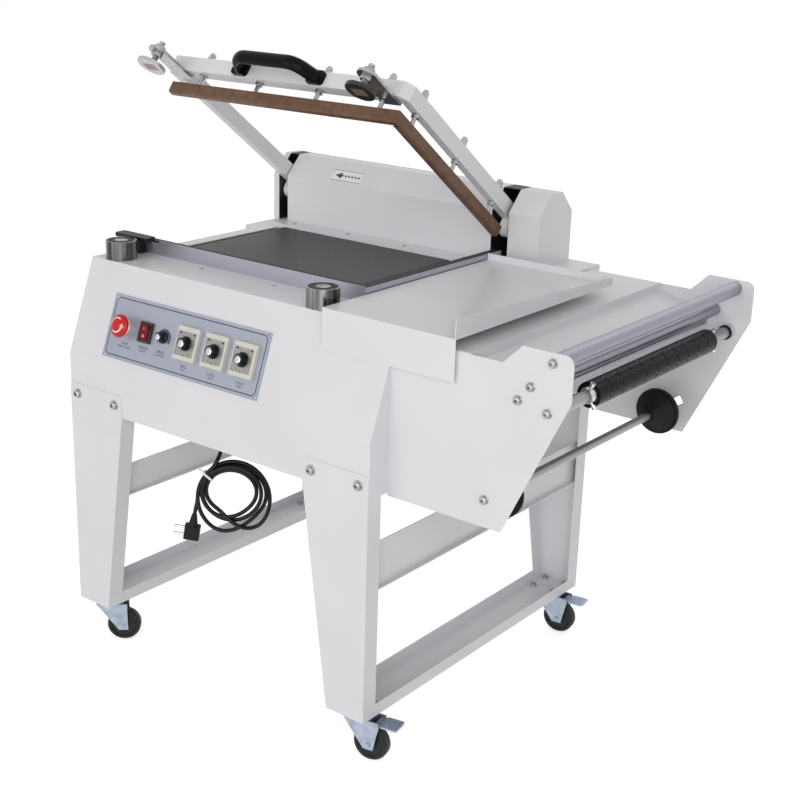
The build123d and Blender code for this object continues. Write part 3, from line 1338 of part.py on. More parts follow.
save("electromagnets", electromagnet(LEFT_MAGNET_X), electromagnet(RIGHT_MAGNET_X))

# Conveyor
save("conveyor_bed", conveyor_bed())
save("conveyor_belt", conveyor_belt())
save("drive_roller", conveyor_roller(DRIVE_ROLLER_X, MOTOR_SHAFT_REACH))
save("idler_roller", conveyor_roller(IDLER_ROLLER_X, 0.0))
save("gear_motor", gear_motor())
save("transformer", transformer())

# Controls
save("control_panel", control_panel())
save("switch_collars", estop_collar(), rocker_bezel())
save("estop_button", estop_button())
save("power_rocker", power_rocker())
save("speed_knob", speed_knob())
save("timer_bodies", *[timer_body(index) for index in range(TIMER_COUNT)])
for index in range(TIMER_COUNT):
    save(f"timer_knob_{index + 1}", timer_knob(index))

# Sealing arm
save("arm_frame", raised(arm_frame()))
save("pivot_shaft", raised(pivot_shaft()))
save("seal_bars", *[raised(bar) for bar in seal_bars()])
save("seal_studs", *[raised(seal_stud(x, y)) for x, y in arm_stud_places()])
save("striker_brackets", *[raised(striker_bracket(x)) for x in (LEFT_MAGNET_X, RIGHT_MAGNET_X)])
save("strikers", *[raised(striker(x)) for x in (LEFT_MAGNET_X, RIGHT_MAGNET_X)])
save("lift_handle", raised(lift_handle()))

# Film bracket and tray
save("film_plates", *film_plates())
save("film_deck", film_deck())
save("infeed_tray", infeed_tray())
save("top_guide_roller", film_roller(TOP_ROLLER_OUT, TOP_ROLLER_HEIGHT, TOP_ROLLER_DIAMETER))
save("middle_guide_roller", film_roller(MIDDLE_ROLLER_OUT, MIDDLE_ROLLER_HEIGHT, MIDDLE_ROLLER_DIAMETER))
save("lower_guide_roller", film_roller(LOWER_ROLLER_OUT, LOWER_ROLLER_HEIGHT, LOWER_ROLLER_DIAMETER))
save("perforator_shaft", perforator_shaft())
save("perforator_sleeve", perforator_sleeve())
save("film_mandrel", film_mandrel())
save("film_cones", film_cone(NEAR_CONE_Y, -90), film_cone(FAR_CONE_Y, 90))

# Casters
save("caster_plates", *[caster_plate(spot) for spot in CASTER_SPOTS])
for spot in CASTER_SPOTS:
    save(f"caster_fork_{spot}", placed_caster(spot, fork(spot in BRAKED_CASTERS)))
    save(f"caster_wheel_{spot}", placed_caster(spot, wheel()))
for spot in BRAKED_CASTERS:
    save(f"brake_pedal_{spot}", placed_caster(spot, pedal()))

# Mains lead
save("cord_gland", cord_gland())
save("cord_lead", cord_tube("lead", LEAD_ROUTE), cord_tube("tail", TAIL_ROUTE))
save("cord_coil", cord_coil())
save("power_plug", power_plug())
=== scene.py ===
import json
import math

import bmesh
import bpy
import numpy as np
from mathutils import Matrix, Vector
from mathutils.bvhtree import BVHTree


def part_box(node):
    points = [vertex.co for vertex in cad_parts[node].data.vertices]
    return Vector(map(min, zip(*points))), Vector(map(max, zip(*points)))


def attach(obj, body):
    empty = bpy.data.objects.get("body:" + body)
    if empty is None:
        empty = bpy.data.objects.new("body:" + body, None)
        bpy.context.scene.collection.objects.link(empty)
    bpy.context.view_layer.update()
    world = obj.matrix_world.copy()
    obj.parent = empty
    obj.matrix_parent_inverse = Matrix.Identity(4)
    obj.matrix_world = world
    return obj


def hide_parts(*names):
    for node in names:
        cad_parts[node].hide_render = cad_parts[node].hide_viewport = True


# %% [markdown]
# # A hand-operated L-bar sealer
# The machine wraps goods in film: a hinged arm with a hot L-shaped bar closes on a jaw, and a small belt
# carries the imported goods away. Its solids come from the CAD frame, already in place and in metres. This
# lesson gives each of them a finish and adds what is too small or too soft for CAD: the mains lead,
# screws, printed scales and labels. It also makes the perforator and the film chucks again, in a finer
# shape.

# %% Load the frame
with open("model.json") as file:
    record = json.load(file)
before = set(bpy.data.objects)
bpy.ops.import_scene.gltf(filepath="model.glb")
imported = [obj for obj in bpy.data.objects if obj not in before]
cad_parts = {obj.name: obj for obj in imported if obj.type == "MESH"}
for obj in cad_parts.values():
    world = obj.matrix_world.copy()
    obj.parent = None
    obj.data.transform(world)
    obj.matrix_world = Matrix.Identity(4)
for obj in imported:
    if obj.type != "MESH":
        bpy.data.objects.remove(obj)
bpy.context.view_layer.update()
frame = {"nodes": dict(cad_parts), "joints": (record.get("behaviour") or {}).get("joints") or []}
nodes = frame["nodes"]
joints = {joint["name"]: joint for joint in frame["joints"]}
scene = bpy.context.scene
MM = 0.001
scene.view_settings.view_transform = "Standard"


def low(node):
    """Lowest corner of a CAD node's box, as an array."""
    return np.array(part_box(node)[0])


def high(node):
    """Highest corner of a CAD node's box, as an array."""
    return np.array(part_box(node)[1])


# %% [markdown]
# ## Camera
# The photograph was taken from the front right, a little above the table, with a moderately long lens.
# The camera's place and turn are written as real sizes. Building its matrix from three directions, right,
# up and back, keeps the small roll that a plain aim at a target would lose.

# %% Camera
CAMERA_PLACE = (1.5829, -1.8878, 1.3237)
CAMERA_YAW = math.radians(37.217)
CAMERA_PITCH = math.radians(18.838)
CAMERA_ROLL = math.radians(1.799)
CAMERA_LENS = 63.1

ahead = Vector((
    -math.sin(CAMERA_YAW) * math.cos(CAMERA_PITCH),
    math.cos(CAMERA_YAW) * math.cos(CAMERA_PITCH),
    -math.sin(CAMERA_PITCH),
))
level_right = Vector((math.cos(CAMERA_YAW), math.sin(CAMERA_YAW), 0.0))
level_up = level_right.cross(ahead)
right = level_right * math.cos(CAMERA_ROLL) + level_up * math.sin(CAMERA_ROLL)
up = level_up * math.cos(CAMERA_ROLL) - level_right * math.sin(CAMERA_ROLL)
camera_data = bpy.data.cameras.new("camera")
camera_data.lens = CAMERA_LENS
camera_data.sensor_width = 36.0
camera_data.clip_end = 50.0
camera = bpy.data.objects.new("camera", camera_data)
scene.collection.objects.link(camera)
turn = Matrix((right, up, -ahead)).transposed().to_4x4()
camera.matrix_world = Matrix.Translation(CAMERA_PLACE) @ turn
scene.camera = camera
print("camera", CAMERA_PLACE, "lens", CAMERA_LENS)


# %% [markdown]
# ## Light and floor
# In the photograph the upright faces are light and the flat tops are darker, so the large soft lamps
# stand low in front: one on the camera's left and a stronger one behind the camera. A faint third lamp
# stands behind the machine. The world and the floor turn white for the camera and for mirror and glass
# rays only, so the background is clean without adding light to the object.

# %% Light
WHITE = (1.0, 1.0, 1.0, 1.0)
WHITE_RAYS = ("Is Camera Ray", "Is Glossy Ray", "Is Transmission Ray")
AIM_HEIGHT = 0.6
WORLD_STRENGTH = 0.47


def larger(tree, first, second):
    """The larger of two signals."""
    choice = tree.nodes.new("ShaderNodeMath")
    choice.operation = "MAXIMUM"
    tree.links.new(first, choice.inputs[0])
    tree.links.new(second, choice.inputs[1])
    return choice.outputs[0]


def any_white_ray(tree):
    """1 where a ray comes from the camera, a mirror or glass, else 0: the largest of the three signals."""
    path = tree.nodes.new("ShaderNodeLightPath")
    signal = path.outputs[WHITE_RAYS[0]]
    for name in WHITE_RAYS[1:]:
        signal = larger(tree, signal, path.outputs[name])
    return signal


def white_for_camera(tree, plain, white, output):
    """Shows the white shader to the rays that any_white_ray finds, and the plain one to all others."""
    choice = tree.nodes.new("ShaderNodeMixShader")
    tree.links.new(any_white_ray(tree), choice.inputs[0])
    tree.links.new(plain.outputs[0], choice.inputs[1])
    tree.links.new(white.outputs[0], choice.inputs[2])
    tree.links.new(choice.outputs[0], tree.nodes[output].inputs["Surface"])


def area_lamp(name, place, size, power):
    """A square soft lamp that faces the middle of the machine."""
    data = bpy.data.lights.new(name, "AREA")
    data.size = size
    data.energy = power
    lamp = bpy.data.objects.new(name, data)
    scene.collection.objects.link(lamp)
    lamp.location = place
    toward = Vector((0.0, 0.0, AIM_HEIGHT)) - Vector(place)
    lamp.rotation_euler = toward.to_track_quat("-Z", "Y").to_euler()


world = bpy.data.worlds.new("studio")
world.use_nodes = True
scene.world = world
world_tree = world.node_tree
soft_sky = world_tree.nodes["Background"]
soft_sky.inputs["Color"].default_value = WHITE
soft_sky.inputs["Strength"].default_value = WORLD_STRENGTH
white_sky = world_tree.nodes.new("ShaderNodeBackground")
white_sky.inputs["Color"].default_value = WHITE
white_for_camera(world_tree, soft_sky, white_sky, "World Output")
area_lamp("left_lamp", place=(-1.0, -5.6, 2.2), size=3.6, power=62.0)
area_lamp("camera_lamp", place=(3.6, -4.6, 2.4), size=3.9, power=124.0)
area_lamp("back_lamp", place=(0.6, 2.6, 2.8), size=2.0, power=8.0)

# %% Floor
CORNERS = [(-1, -1), (1, -1), (1, 1), (-1, 1)]
FLOOR_HALF = 6.0
FLOOR_GREY = (0.86, 0.86, 0.86, 1.0)
FLOOR_ROUGH = 0.9
FLOOR_GLOW = 0.62
floor_mesh = bpy.data.meshes.new("floor")
floor_points = np.c_[np.array(CORNERS) * FLOOR_HALF, np.zeros(len(CORNERS))]
floor_mesh.from_pydata(floor_points.tolist(), [], [(0, 1, 2, 3)])
floor = bpy.data.objects.new("floor", floor_mesh)
scene.collection.objects.link(floor)
floor_paint = bpy.data.materials.new("floor_paint")
floor_paint.use_nodes = True
floor_tree = floor_paint.node_tree
floor_shader = floor_tree.nodes["Principled BSDF"]
floor_shader.inputs["Base Color"].default_value = FLOOR_GREY
floor_shader.inputs["Roughness"].default_value = FLOOR_ROUGH
floor_glow = floor_tree.nodes.new("ShaderNodeEmission")
floor_glow.inputs["Strength"].default_value = FLOOR_GLOW
white_floor = floor_tree.nodes.new("ShaderNodeAddShader")
floor_tree.links.new(floor_shader.outputs[0], white_floor.inputs[0])
floor_tree.links.new(floor_glow.outputs[0], white_floor.inputs[1])
white_for_camera(floor_tree, floor_shader, white_floor, "Material Output")
floor_mesh.materials.append(floor_paint)
print("floor", 2 * FLOOR_HALF, "m wide")


# %% [markdown]
# ## Finishes
# Every surface has one shader with a little life in it: a slow change of tone, a grain in the gloss and a
# fine bump. All of them are noise on Object coordinates, so they stay on the piece when it moves. One
# helper wires the three, and each finish is then a few named numbers.

# %% A helper for finishes
NOISE_RANGE = (0.3, 0.7)


def texture_coordinates(tree, stretch):
    """Object coordinates, stretched along the axes that brushing or rolling follows."""
    source = tree.nodes.new("ShaderNodeTexCoord")
    mapping = tree.nodes.new("ShaderNodeMapping")
    mapping.inputs["Scale"].default_value = stretch
    tree.links.new(source.outputs["Object"], mapping.inputs["Vector"])
    return mapping.outputs["Vector"]


def noise(tree, vector, size, detail=3.0):
    """Noise whose blots are about size metres across."""
    blots = tree.nodes.new("ShaderNodeTexNoise")
    blots.inputs["Scale"].default_value = 1.0 / size
    blots.inputs["Detail"].default_value = detail
    tree.links.new(vector, blots.inputs["Vector"])
    return blots.outputs["Fac"]


def between(tree, factor, low_end, high_end):
    """A number that runs from low_end to high_end as the noise runs over its middle range."""
    spread = tree.nodes.new("ShaderNodeMapRange")
    spread.inputs["From Min"].default_value = NOISE_RANGE[0]
    spread.inputs["From Max"].default_value = NOISE_RANGE[1]
    spread.inputs["To Min"].default_value = low_end
    spread.inputs["To Max"].default_value = high_end
    tree.links.new(factor, spread.inputs["Value"])
    return spread.outputs["Result"]


def tint(tree, factor, first, second):
    """A colour that runs from first to second with the factor."""
    blend = tree.nodes.new("ShaderNodeMix")
    blend.data_type = "RGBA"
    blend.inputs["A"].default_value = (*first, 1.0)
    blend.inputs["B"].default_value = (*second, 1.0)
    tree.links.new(factor, blend.inputs["Factor"])
    return blend.outputs["Result"]


def within(tree, vector, ranges):
    """1 where X lies in one of the ranges, else 0: each signal says whether X is near a range's middle."""
    split = tree.nodes.new("ShaderNodeSeparateXYZ")
    tree.links.new(vector, split.inputs["Vector"])
    signal = None
    for start, end in ranges:
        near = tree.nodes.new("ShaderNodeMath")
        near.operation = "COMPARE"
        near.inputs[1].default_value = (start + end) / 2
        near.inputs[2].default_value = (end - start) / 2
        tree.links.new(split.outputs["X"], near.inputs[0])
        signal = larger(tree, signal, near.outputs[0]) if signal else near.outputs[0]
    return signal


def patched(tree, shader, vector, base, metallic, patch):
    """The base colour with another one inside some ranges of X, where the metal share may differ too."""
    ranges, colour, patch_metallic = patch
    inside = within(tree, vector, ranges)
    if patch_metallic != metallic:
        share = tree.nodes.new("ShaderNodeMapRange")
        share.inputs["To Min"].default_value = metallic
        share.inputs["To Max"].default_value = patch_metallic
        tree.links.new(inside, share.inputs["Value"])
        tree.links.new(share.outputs["Result"], shader.inputs["Metallic"])
    blend = tree.nodes.new("ShaderNodeMix")
    blend.data_type = "RGBA"
    blend.inputs["B"].default_value = (*colour, 1.0)
    tree.links.new(base, blend.inputs["A"])
    tree.links.new(inside, blend.inputs["Factor"])
    return blend.outputs["Result"]


def finish(
    name,
    colour,
    rough,
    metallic=0.0,
    tone=0.05,
    tone_size=0.12,
    grain=0.002,
    bump=0.00005,
    stretch=(1.0, 1.0, 1.0),
    rough_spread=0.06,
    coat=0.0,
    specular=0.5,
    patch=None,
):
    """A surface finish: base colour that varies by tone, gloss with a grain, and a bump of that height.
    patch gives ranges of X, and the colour and metal share that the finish has inside them."""
    material = bpy.data.materials.new(name)
    material.use_nodes = True
    tree = material.node_tree
    shader = tree.nodes["Principled BSDF"]
    shader.inputs["Metallic"].default_value = metallic
    shader.inputs["Coat Weight"].default_value = coat
    shader.inputs["Specular IOR Level"].default_value = specular
    vector = texture_coordinates(tree, stretch)
    slow = between(tree, noise(tree, vector, tone_size, detail=2.0), 0.0, 1.0)
    base = tint(tree, slow, [channel * (1.0 - tone) for channel in colour], colour)
    if patch:
        base = patched(tree, shader, vector, base, metallic, patch)
    tree.links.new(base, shader.inputs["Base Color"])
    fine = noise(tree, vector, grain)
    rough_value = between(tree, fine, rough - rough_spread, rough + rough_spread)
    tree.links.new(rough_value, shader.inputs["Roughness"])
    relief = tree.nodes.new("ShaderNodeBump")
    relief.inputs["Strength"].default_value = 1.0
    relief.inputs["Distance"].default_value = bump
    tree.links.new(fine, relief.inputs["Height"])
    tree.links.new(relief.outputs["Normal"], shader.inputs["Normal"])
    return material


# %% [markdown]
# The sheet metal is powder coated in a cool off-white, with the faint orange peel that such paint has.
# The arm and the covers have the same coat, and the walls of the slots that the arm passes through are
# painted black as shade, because the slots lie in shade. Plated pieces, bare steel and aluminium are metals
# with a directional grain: stretching the noise
# along one axis makes brush marks, and along the rollers' length it makes drawn tube.

# %% Paint and metals
OFF_WHITE = (0.735, 0.732, 0.755)
SOFT_BLACK = (0.012, 0.012, 0.013)
COAT = {"rough": 0.36, "tone": 0.035, "grain": 0.0016, "bump": 0.00003, "coat": 0.15}
SLOT_MARGIN = 0.0002
# The rocker's bezel lies right of this X and is dark; the stop button's collar lies left of it.
ROCKER_SIDE = -0.192
RIGHT_END = 1.0
# X ranges of the walls of the arm's slots in the covers. Inside them the cover paint is painted black as
# shade.
painted_shade_slot_walls = [
    (low("slot_shields")[0] - SLOT_MARGIN, low("centre_cover")[0] + SLOT_MARGIN),
    (high("centre_cover")[0] - SLOT_MARGIN, high("slot_shields")[0] + SLOT_MARGIN),
]
paint = finish("powder_coat", OFF_WHITE, **COAT)
# The cover paint turns black inside the slot walls' ranges: painted shade.
cover_paint = finish("cover_paint", OFF_WHITE, patch=(painted_shade_slot_walls, SOFT_BLACK, 0.0), **COAT)
panel_metal = finish(
    "panel_metal", (0.37, 0.392, 0.47), 0.4, metallic=0.35, tone=0.08, tone_size=0.03,
    grain=0.0012, bump=0.00001, stretch=(0.05, 1.0, 1.0),
)
# The magnets' cans have upright bands in their colour that run from near black to bright steel: painted
# reflections of a polished can.
can_steel_painted_reflections = finish(
    "can_steel_painted_reflections", (0.29, 0.272, 0.276), 0.18, metallic=1.0, tone=0.95, tone_size=0.011, bump=0.00001,
    stretch=(1.0, 1.0, 0.04),
)
steel = finish(
    "turned_steel", (0.4, 0.4, 0.4), 0.32, metallic=1.0, tone=0.25, tone_size=0.01, bump=0.00001,
)
shaft_steel = finish(
    "shaft_steel", (0.34, 0.34, 0.335), 0.34, metallic=1.0, tone=0.2, tone_size=0.02,
    grain=0.0008, bump=0.00001, stretch=(1.0, 0.03, 1.0),
)
zinc = finish(
    "zinc_plate", (0.42, 0.48, 0.58), 0.34, metallic=0.9, tone=0.3, tone_size=0.015, bump=0.00002,
)
bright_zinc = finish(
    "bright_zinc", (0.46, 0.46, 0.47), 0.28, metallic=1.0, tone=0.3, tone_size=0.008, bump=0.00001,
)
aluminium = finish(
    "drawn_aluminium", (0.33, 0.335, 0.385), 0.42, metallic=0.85, tone=0.12, tone_size=0.03,
    grain=0.0006, bump=0.00001, stretch=(1.0, 0.02, 1.0),
)
jaw_aluminium = finish(
    "jaw_aluminium", (0.47, 0.475, 0.545), 0.4, metallic=0.8, tone=0.12, tone_size=0.03,
    grain=0.0006, bump=0.00001, stretch=(0.03, 0.03, 1.0),
)
collar_metal = finish(
    "collar_metal", (0.62, 0.56, 0.56), 0.35, metallic=0.5, tone=0.12, tone_size=0.01, bump=0.00001,
    patch=([(ROCKER_SIDE, RIGHT_END)], (0.02, 0.012, 0.014), 0.0),
)
striker_plate = finish(
    "striker_plate", (0.5, 0.5, 0.52), 0.34, metallic=0.9, tone=0.2, tone_size=0.01, bump=0.00001,
    patch=([(0.0, RIGHT_END)], SOFT_BLACK, 0.0),
)
print("materials", len(bpy.data.materials))

# %% Plastics, rubbers and coatings
black_plastic = finish(
    "black_plastic", SOFT_BLACK, 0.42, tone=0.3, grain=0.0009, bump=0.00003, specular=0.18,
)
gloss_black = finish(
    "gloss_black", (0.008, 0.008, 0.009), 0.22, tone=0.3, grain=0.0009, bump=0.00001, specular=0.22,
)
handle_black = finish(
    "handle_black", (0.005, 0.005, 0.007), 0.24, tone=0.3, grain=0.0009, bump=0.00001, specular=0.09,
)
ring_black = finish(
    "ring_black", (0.008, 0.008, 0.013), 0.34, tone=0.35, tone_size=0.012, bump=0.00002, specular=0.09,
)
black_rubber = finish(
    "black_rubber", (0.014, 0.014, 0.017), 0.5, tone=0.35, tone_size=0.02,
    grain=0.001, bump=0.00004, specular=0.14,
)
black_steel = finish(
    "black_steel", SOFT_BLACK, 0.45, tone=0.3, tone_size=0.02, grain=0.0012, bump=0.00003, specular=0.2,
)
belt_rubber = finish(
    "belt_rubber", (0.017, 0.017, 0.021), 0.44, tone=0.35, tone_size=0.06,
    grain=0.0014, bump=0.00006, stretch=(0.3, 1.0, 1.0), specular=0.25,
)
tape_brown = finish(
    "tape_brown", (0.165, 0.082, 0.042), 0.46, tone=0.35, tone_size=0.012,
    grain=0.0011, bump=0.00005, stretch=(1.0, 0.6, 1.0), specular=0.35,
)
red_plastic = finish(
    "red_plastic", (0.6, 0.011, 0.011), 0.32, tone=0.12, tone_size=0.01, bump=0.00001, specular=0.3,
)
dark_red = finish(
    "dark_red", (0.19, 0.004, 0.007), 0.24, tone=0.3, tone_size=0.006, bump=0.00001, specular=0.2,
)
cream_plastic = finish("cream_plastic", (0.67, 0.645, 0.57), 0.42, tone=0.06, tone_size=0.01, bump=0.00001)
motor_enamel = finish("motor_enamel", (0.08, 0.085, 0.09), 0.4, tone=0.15, bump=0.00003)
core_varnish = finish(
    "core_varnish", (0.05, 0.042, 0.035), 0.5, metallic=0.3, tone=0.3, tone_size=0.01,
    grain=0.0008, bump=0.00005, stretch=(1.0, 1.0, 0.1),
)
wheel_rubber = finish(
    "wheel_rubber", (0.015, 0.015, 0.016), 0.48, tone=0.3, tone_size=0.012, bump=0.00003, specular=0.3,
)
cord_sheath = finish(
    "cord_sheath", (0.009, 0.009, 0.011), 0.32, tone=0.3, tone_size=0.02,
    grain=0.001, bump=0.00002, specular=0.22,
)
print("materials", len(bpy.data.materials))

# %% [markdown]
# ## Dress the CAD solids
# A CAD solid keeps its mesh and only gets a finish in its material slot. A table from finish to nodes
# says in one place what every solid is made of.

# %% Dress the CAD solids
DRESS = {
    paint: [
        "cabinet_shell", "base_pan", "legs", "side_rails", "infeed_tray", "film_plates", "film_deck",
        "arm_frame", "conveyor_bed",
    ],
    cover_paint: ["centre_cover", "end_covers"],
    panel_metal: ["control_panel"],
    bright_zinc: ["seal_studs", "striker_brackets"],
    collar_metal: ["switch_collars"],
    striker_plate: ["strikers"],
    can_steel_painted_reflections: ["electromagnets"],
    cream_plastic: ["timer_bodies"],
    gloss_black: ["timer_knob_1", "timer_knob_2", "timer_knob_3", "speed_knob"],
    handle_black: ["lift_handle"],
    red_plastic: ["estop_button"],
    dark_red: ["power_rocker"],
    steel: ["pivot_bearings", "return_spring"],
    shaft_steel: ["pivot_shaft", "film_mandrel", "perforator_shaft"],
    jaw_aluminium: ["lower_jaw"],
    aluminium: [
        "drive_roller", "idler_roller", "top_guide_roller", "middle_guide_roller", "lower_guide_roller",
    ],
    black_rubber: ["jaw_pads", "perforator_sleeve", "film_cones"],
    black_steel: ["stop_bracket", "slot_shields"],
    belt_rubber: ["conveyor_belt"],
    tape_brown: ["seal_bars"],
    motor_enamel: ["gear_motor"],
    core_varnish: ["transformer"],
    zinc: ["caster_plates"] + [name for name in nodes if name.startswith(("caster_fork", "brake_pedal"))],
    wheel_rubber: [name for name in nodes if name.startswith("caster_wheel")],
    black_plastic: ["cord_gland", "power_plug"],
    cord_sheath: ["cord_lead", "cord_coil"],
}
for material, names in DRESS.items():
    for name in names:
        nodes[name].data.materials.clear()
        nodes[name].data.materials.append(material)
bare = set(nodes) - {name for names in DRESS.values() for name in names}
print("nodes with no finish", sorted(bare))

# %% [markdown]
# ## Mains lead
# The lead drops from a gland under the pan, is wound in loose turns that are tied at the upper left, and
# ends in an angled plug. A cord is one smooth NURBS line with a round bevel. The turns are ellipses that
# share the tied side and differ at the bottom, where each one eases into the next: that is how a
# hand-wound cord hangs. They are written in the coil's own plane: across, up and out towards the camera.

# %% Mains lead
CORD_DIAMETER = 0.0075
COIL_CENTRE = np.array([-0.039, -0.2315, 0.342])
COIL_FACING = math.radians(37.2)
COIL_ACROSS = np.array([math.cos(COIL_FACING), math.sin(COIL_FACING), 0.0])
COIL_OUT = np.array([math.sin(COIL_FACING), -math.cos(COIL_FACING), 0.0])
COIL_UP = np.array([0.0, 0.0, 1.0])
POINTS_PER_TURN = 20
# Each loop in the order that the cord follows it: left, right, bottom, top and how far out, in millimetres.
LOOPS = np.array([
    (-64.5, 62.0, -66.0, 72.0, 4.0),
    (-57.0, 58.0, -43.0, 64.4, -4.0),
    (-57.0, 50.0, -36.0, 64.4, 4.0),
    (-49.5, 41.0, -25.0, 56.9, 0.0),
    (-64.5, 64.5, -72.0, 72.0, -4.0),
])
# Angles round the loops, in degrees: where the lead joins the first, where the tail leaves the last, and
# where each loop eases into the next.
LEAD_START = 125.0
TAIL_END = 176.0
EASE_FROM = 235.0
EASE_TO = 325.0
LAST_EASE_BULGE = 11.0


def in_coil_plane(across, up_by, out_by=0.0):
    """Points given across, up and out of the coil's plane in millimetres, in the CAD frame."""
    parts = zip((across, up_by, out_by), (COIL_ACROSS, COIL_UP, COIL_OUT))
    return COIL_CENTRE + sum(np.multiply.outer(np.asarray(part) * MM, axis) for part, axis in parts)


def coil_turns():
    """The wound turns: an ellipse's angle runs on, and each loop eases into the next over the bottom."""
    last = len(LOOPS) - 1
    total = (TAIL_END - LEAD_START) / 360.0 + last
    angle = LEAD_START + 360.0 * np.linspace(0.0, total, int(total * POINTS_PER_TURN))
    turn_index = np.floor(angle / 360.0).astype(int)
    part_turn = angle - 360.0 * turn_index
    ease = np.clip((part_turn - EASE_FROM) / (EASE_TO - EASE_FROM), 0.0, 1.0)
    ease = ease * ease * (3.0 - 2.0 * ease)
    first = np.clip(turn_index, 0, last)
    second = np.clip(turn_index + 1, 0, last)
    loop = LOOPS[first] * (1.0 - ease)[:, None] + LOOPS[second] * ease[:, None]
    bulge = np.where(turn_index == last - 1, LAST_EASE_BULGE * np.sin(math.pi * ease), 0.0)
    across = (loop[:, 0] + loop[:, 1]) / 2 + (loop[:, 1] - loop[:, 0]) / 2 * np.cos(np.radians(angle))
    raised = (loop[:, 2] + loop[:, 3]) / 2 + (loop[:, 3] - loop[:, 2]) / 2 * np.sin(np.radians(angle))
    return in_coil_plane(across, raised, loop[:, 4] + bulge)


GLAND_FOOT = np.array([-0.064, -0.2345, 0.454])
LEAD_DROP = 0.022
# Where the lead meets the coil, and the points before the plug: across, up and out of the coil's plane.
LEAD_MEETS = (-29.0, 72.0, 3.0)
TAIL_POINTS = np.array([(-66.0, -9.0, -3.0), (-68.6, -21.0, -1.0), (-70.5, -31.0, 0.0)])
lead = np.vstack([GLAND_FOOT, GLAND_FOOT - (0.0, 0.0, LEAD_DROP), in_coil_plane(*LEAD_MEETS)])
cord_route = np.vstack([lead, coil_turns(), in_coil_plane(*TAIL_POINTS.T)])


def cord_curve(name, route, diameter, material):
    """A round cord: one NURBS spline with the route as its control points."""
    data = bpy.data.curves.new(name, "CURVE")
    data.dimensions = "3D"
    data.bevel_depth = diameter / 2
    data.bevel_resolution = 4
    data.resolution_u = 6
    data.use_fill_caps = True
    spline = data.splines.new("NURBS")
    spline.points.add(len(route) - 1)
    spline.points.foreach_set("co", np.c_[route, np.ones(len(route))].ravel())
    spline.order_u = 3
    spline.use_endpoint_u = True
    data.materials.append(material)
    piece = bpy.data.objects.new(name, data)
    scene.collection.objects.link(piece)
    return piece


def line_length(curve_object):
    """Length of a curve's own line, read from a copy of it with no bevel."""
    plain = curve_object.copy()
    plain.data = curve_object.data.copy()
    plain.data.bevel_depth = 0.0
    line = bpy.data.meshes.new_from_object(plain)
    points = np.empty(len(line.vertices) * 3)
    line.vertices.foreach_get("co", points)
    points = points.reshape(-1, 3)
    bpy.data.objects.remove(plain)
    bpy.data.meshes.remove(line)
    return float(np.linalg.norm(np.diff(points, axis=0), axis=1).sum())


mains_lead = cord_curve("mains_lead", cord_route, CORD_DIAMETER, cord_sheath)
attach(mains_lead, "base")
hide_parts("cord_lead", "cord_coil")
lead_length = line_length(mains_lead)
print("mains lead length", round(lead_length, 3))

# %% [markdown]
# ## Small parts by formula
# Bolts, screws, rings and printed marks are small closed surfaces. Each is a grid of points from a
# formula with two parameters: along a profile and round an axis, or along a line and round its section.
# Whole arrays keep this short, and one mesh can hold every copy of a bolt. Places are in metres, as in
# the frame, and the parts' own shapes are in millimetres.

# %% Places and surfaces
SHARP_ANGLE = math.radians(32.0)
SEGMENTS = 36
MERGE_DISTANCE = 1e-6
NEARLY_UPRIGHT = 0.99


def face_axes(out):
    """Axes across, up and out of a face that looks along out, with up as near to +Z as it can be."""
    out = np.asarray(out, float) / np.linalg.norm(out)
    upward = (0.0, 0.0, 1.0) if abs(out[2]) < NEARLY_UPRIGHT else (0.0, 1.0, 0.0)
    across = np.cross(upward, out)
    across /= np.linalg.norm(across)
    return np.stack([across, np.cross(out, across), out])


def placed(points, centre, axes):
    """Local millimetre points in the CAD frame: the centre plus each coordinate times its axis."""
    return np.asarray(centre) + np.asarray(points) * MM @ axes


def angles(segments):
    """Evenly spaced angles over one turn."""
    return np.linspace(0.0, 2.0 * math.pi, segments, endpoint=False)


def round_grid(radius, height, segments=SEGMENTS):
    """Points at the radius times cosine and sine of the angle, with one row for each height."""
    angle = angles(segments)
    radius = np.broadcast_to(np.asarray(radius, float), (len(height), segments))
    level = np.broadcast_to(np.asarray(height, float)[:, None], radius.shape)
    return np.stack([radius * np.cos(angle), radius * np.sin(angle), level], axis=-1)


def turned(*profile, segments=SEGMENTS):
    """A surface of revolution: each pair of the profile is a radius and a height."""
    profile = np.array(profile, float)
    return round_grid(profile[:, :1], profile[:, 1], segments)


def hex_wall(across_flats, turned_by=0.0):
    """Radius of a hexagon: half its width over the cosine of the angle from the nearest flat."""
    from_flat = (angles(SEGMENTS) + turned_by + math.pi / 6) % (math.pi / 3) - math.pi / 6
    return across_flats / 2 / np.cos(from_flat)


def ribbon(line, width, thickness, closed=False):
    """A thin bar along a flat line: corners at half the width to each side, at the foot and at the top."""
    line = np.asarray(line, float)
    if closed:
        run = np.roll(line, -1, axis=0) - np.roll(line, 1, axis=0)
    else:
        run = np.vstack([line[1:], line[-1:]]) - np.vstack([line[:1], line[:-1]])
    side = np.c_[-run[:, 1], run[:, 0]] / np.linalg.norm(run, axis=1)[:, None]
    reach = side * np.broadcast_to(np.asarray(width, float) / 2, len(line))[:, None]
    foot = np.zeros((len(line), 1))
    top = foot + thickness
    near, far = line + reach, line - reach
    grid = np.stack([np.c_[near, foot], np.c_[far, foot], np.c_[far, top], np.c_[near, top]], axis=1)
    if closed:
        return np.concatenate([grid, grid[:1]])
    middle = np.c_[line, foot + thickness / 2][:, None, :].repeat(4, axis=1)
    return np.concatenate([middle[:1], grid, middle[-1:]])


def plate(width, height, thickness):
    """A flat plate about its own middle: a bar along its middle line, as wide as the plate is high."""
    return ribbon([(-width / 2, 0.0), (width / 2, 0.0)], height, thickness)


def arc_line(radius, start, end, steps):
    """Points on a circle from a start to an end angle in degrees."""
    angle = np.radians(np.linspace(start, end, steps))
    return np.c_[radius * np.cos(angle), radius * np.sin(angle)]


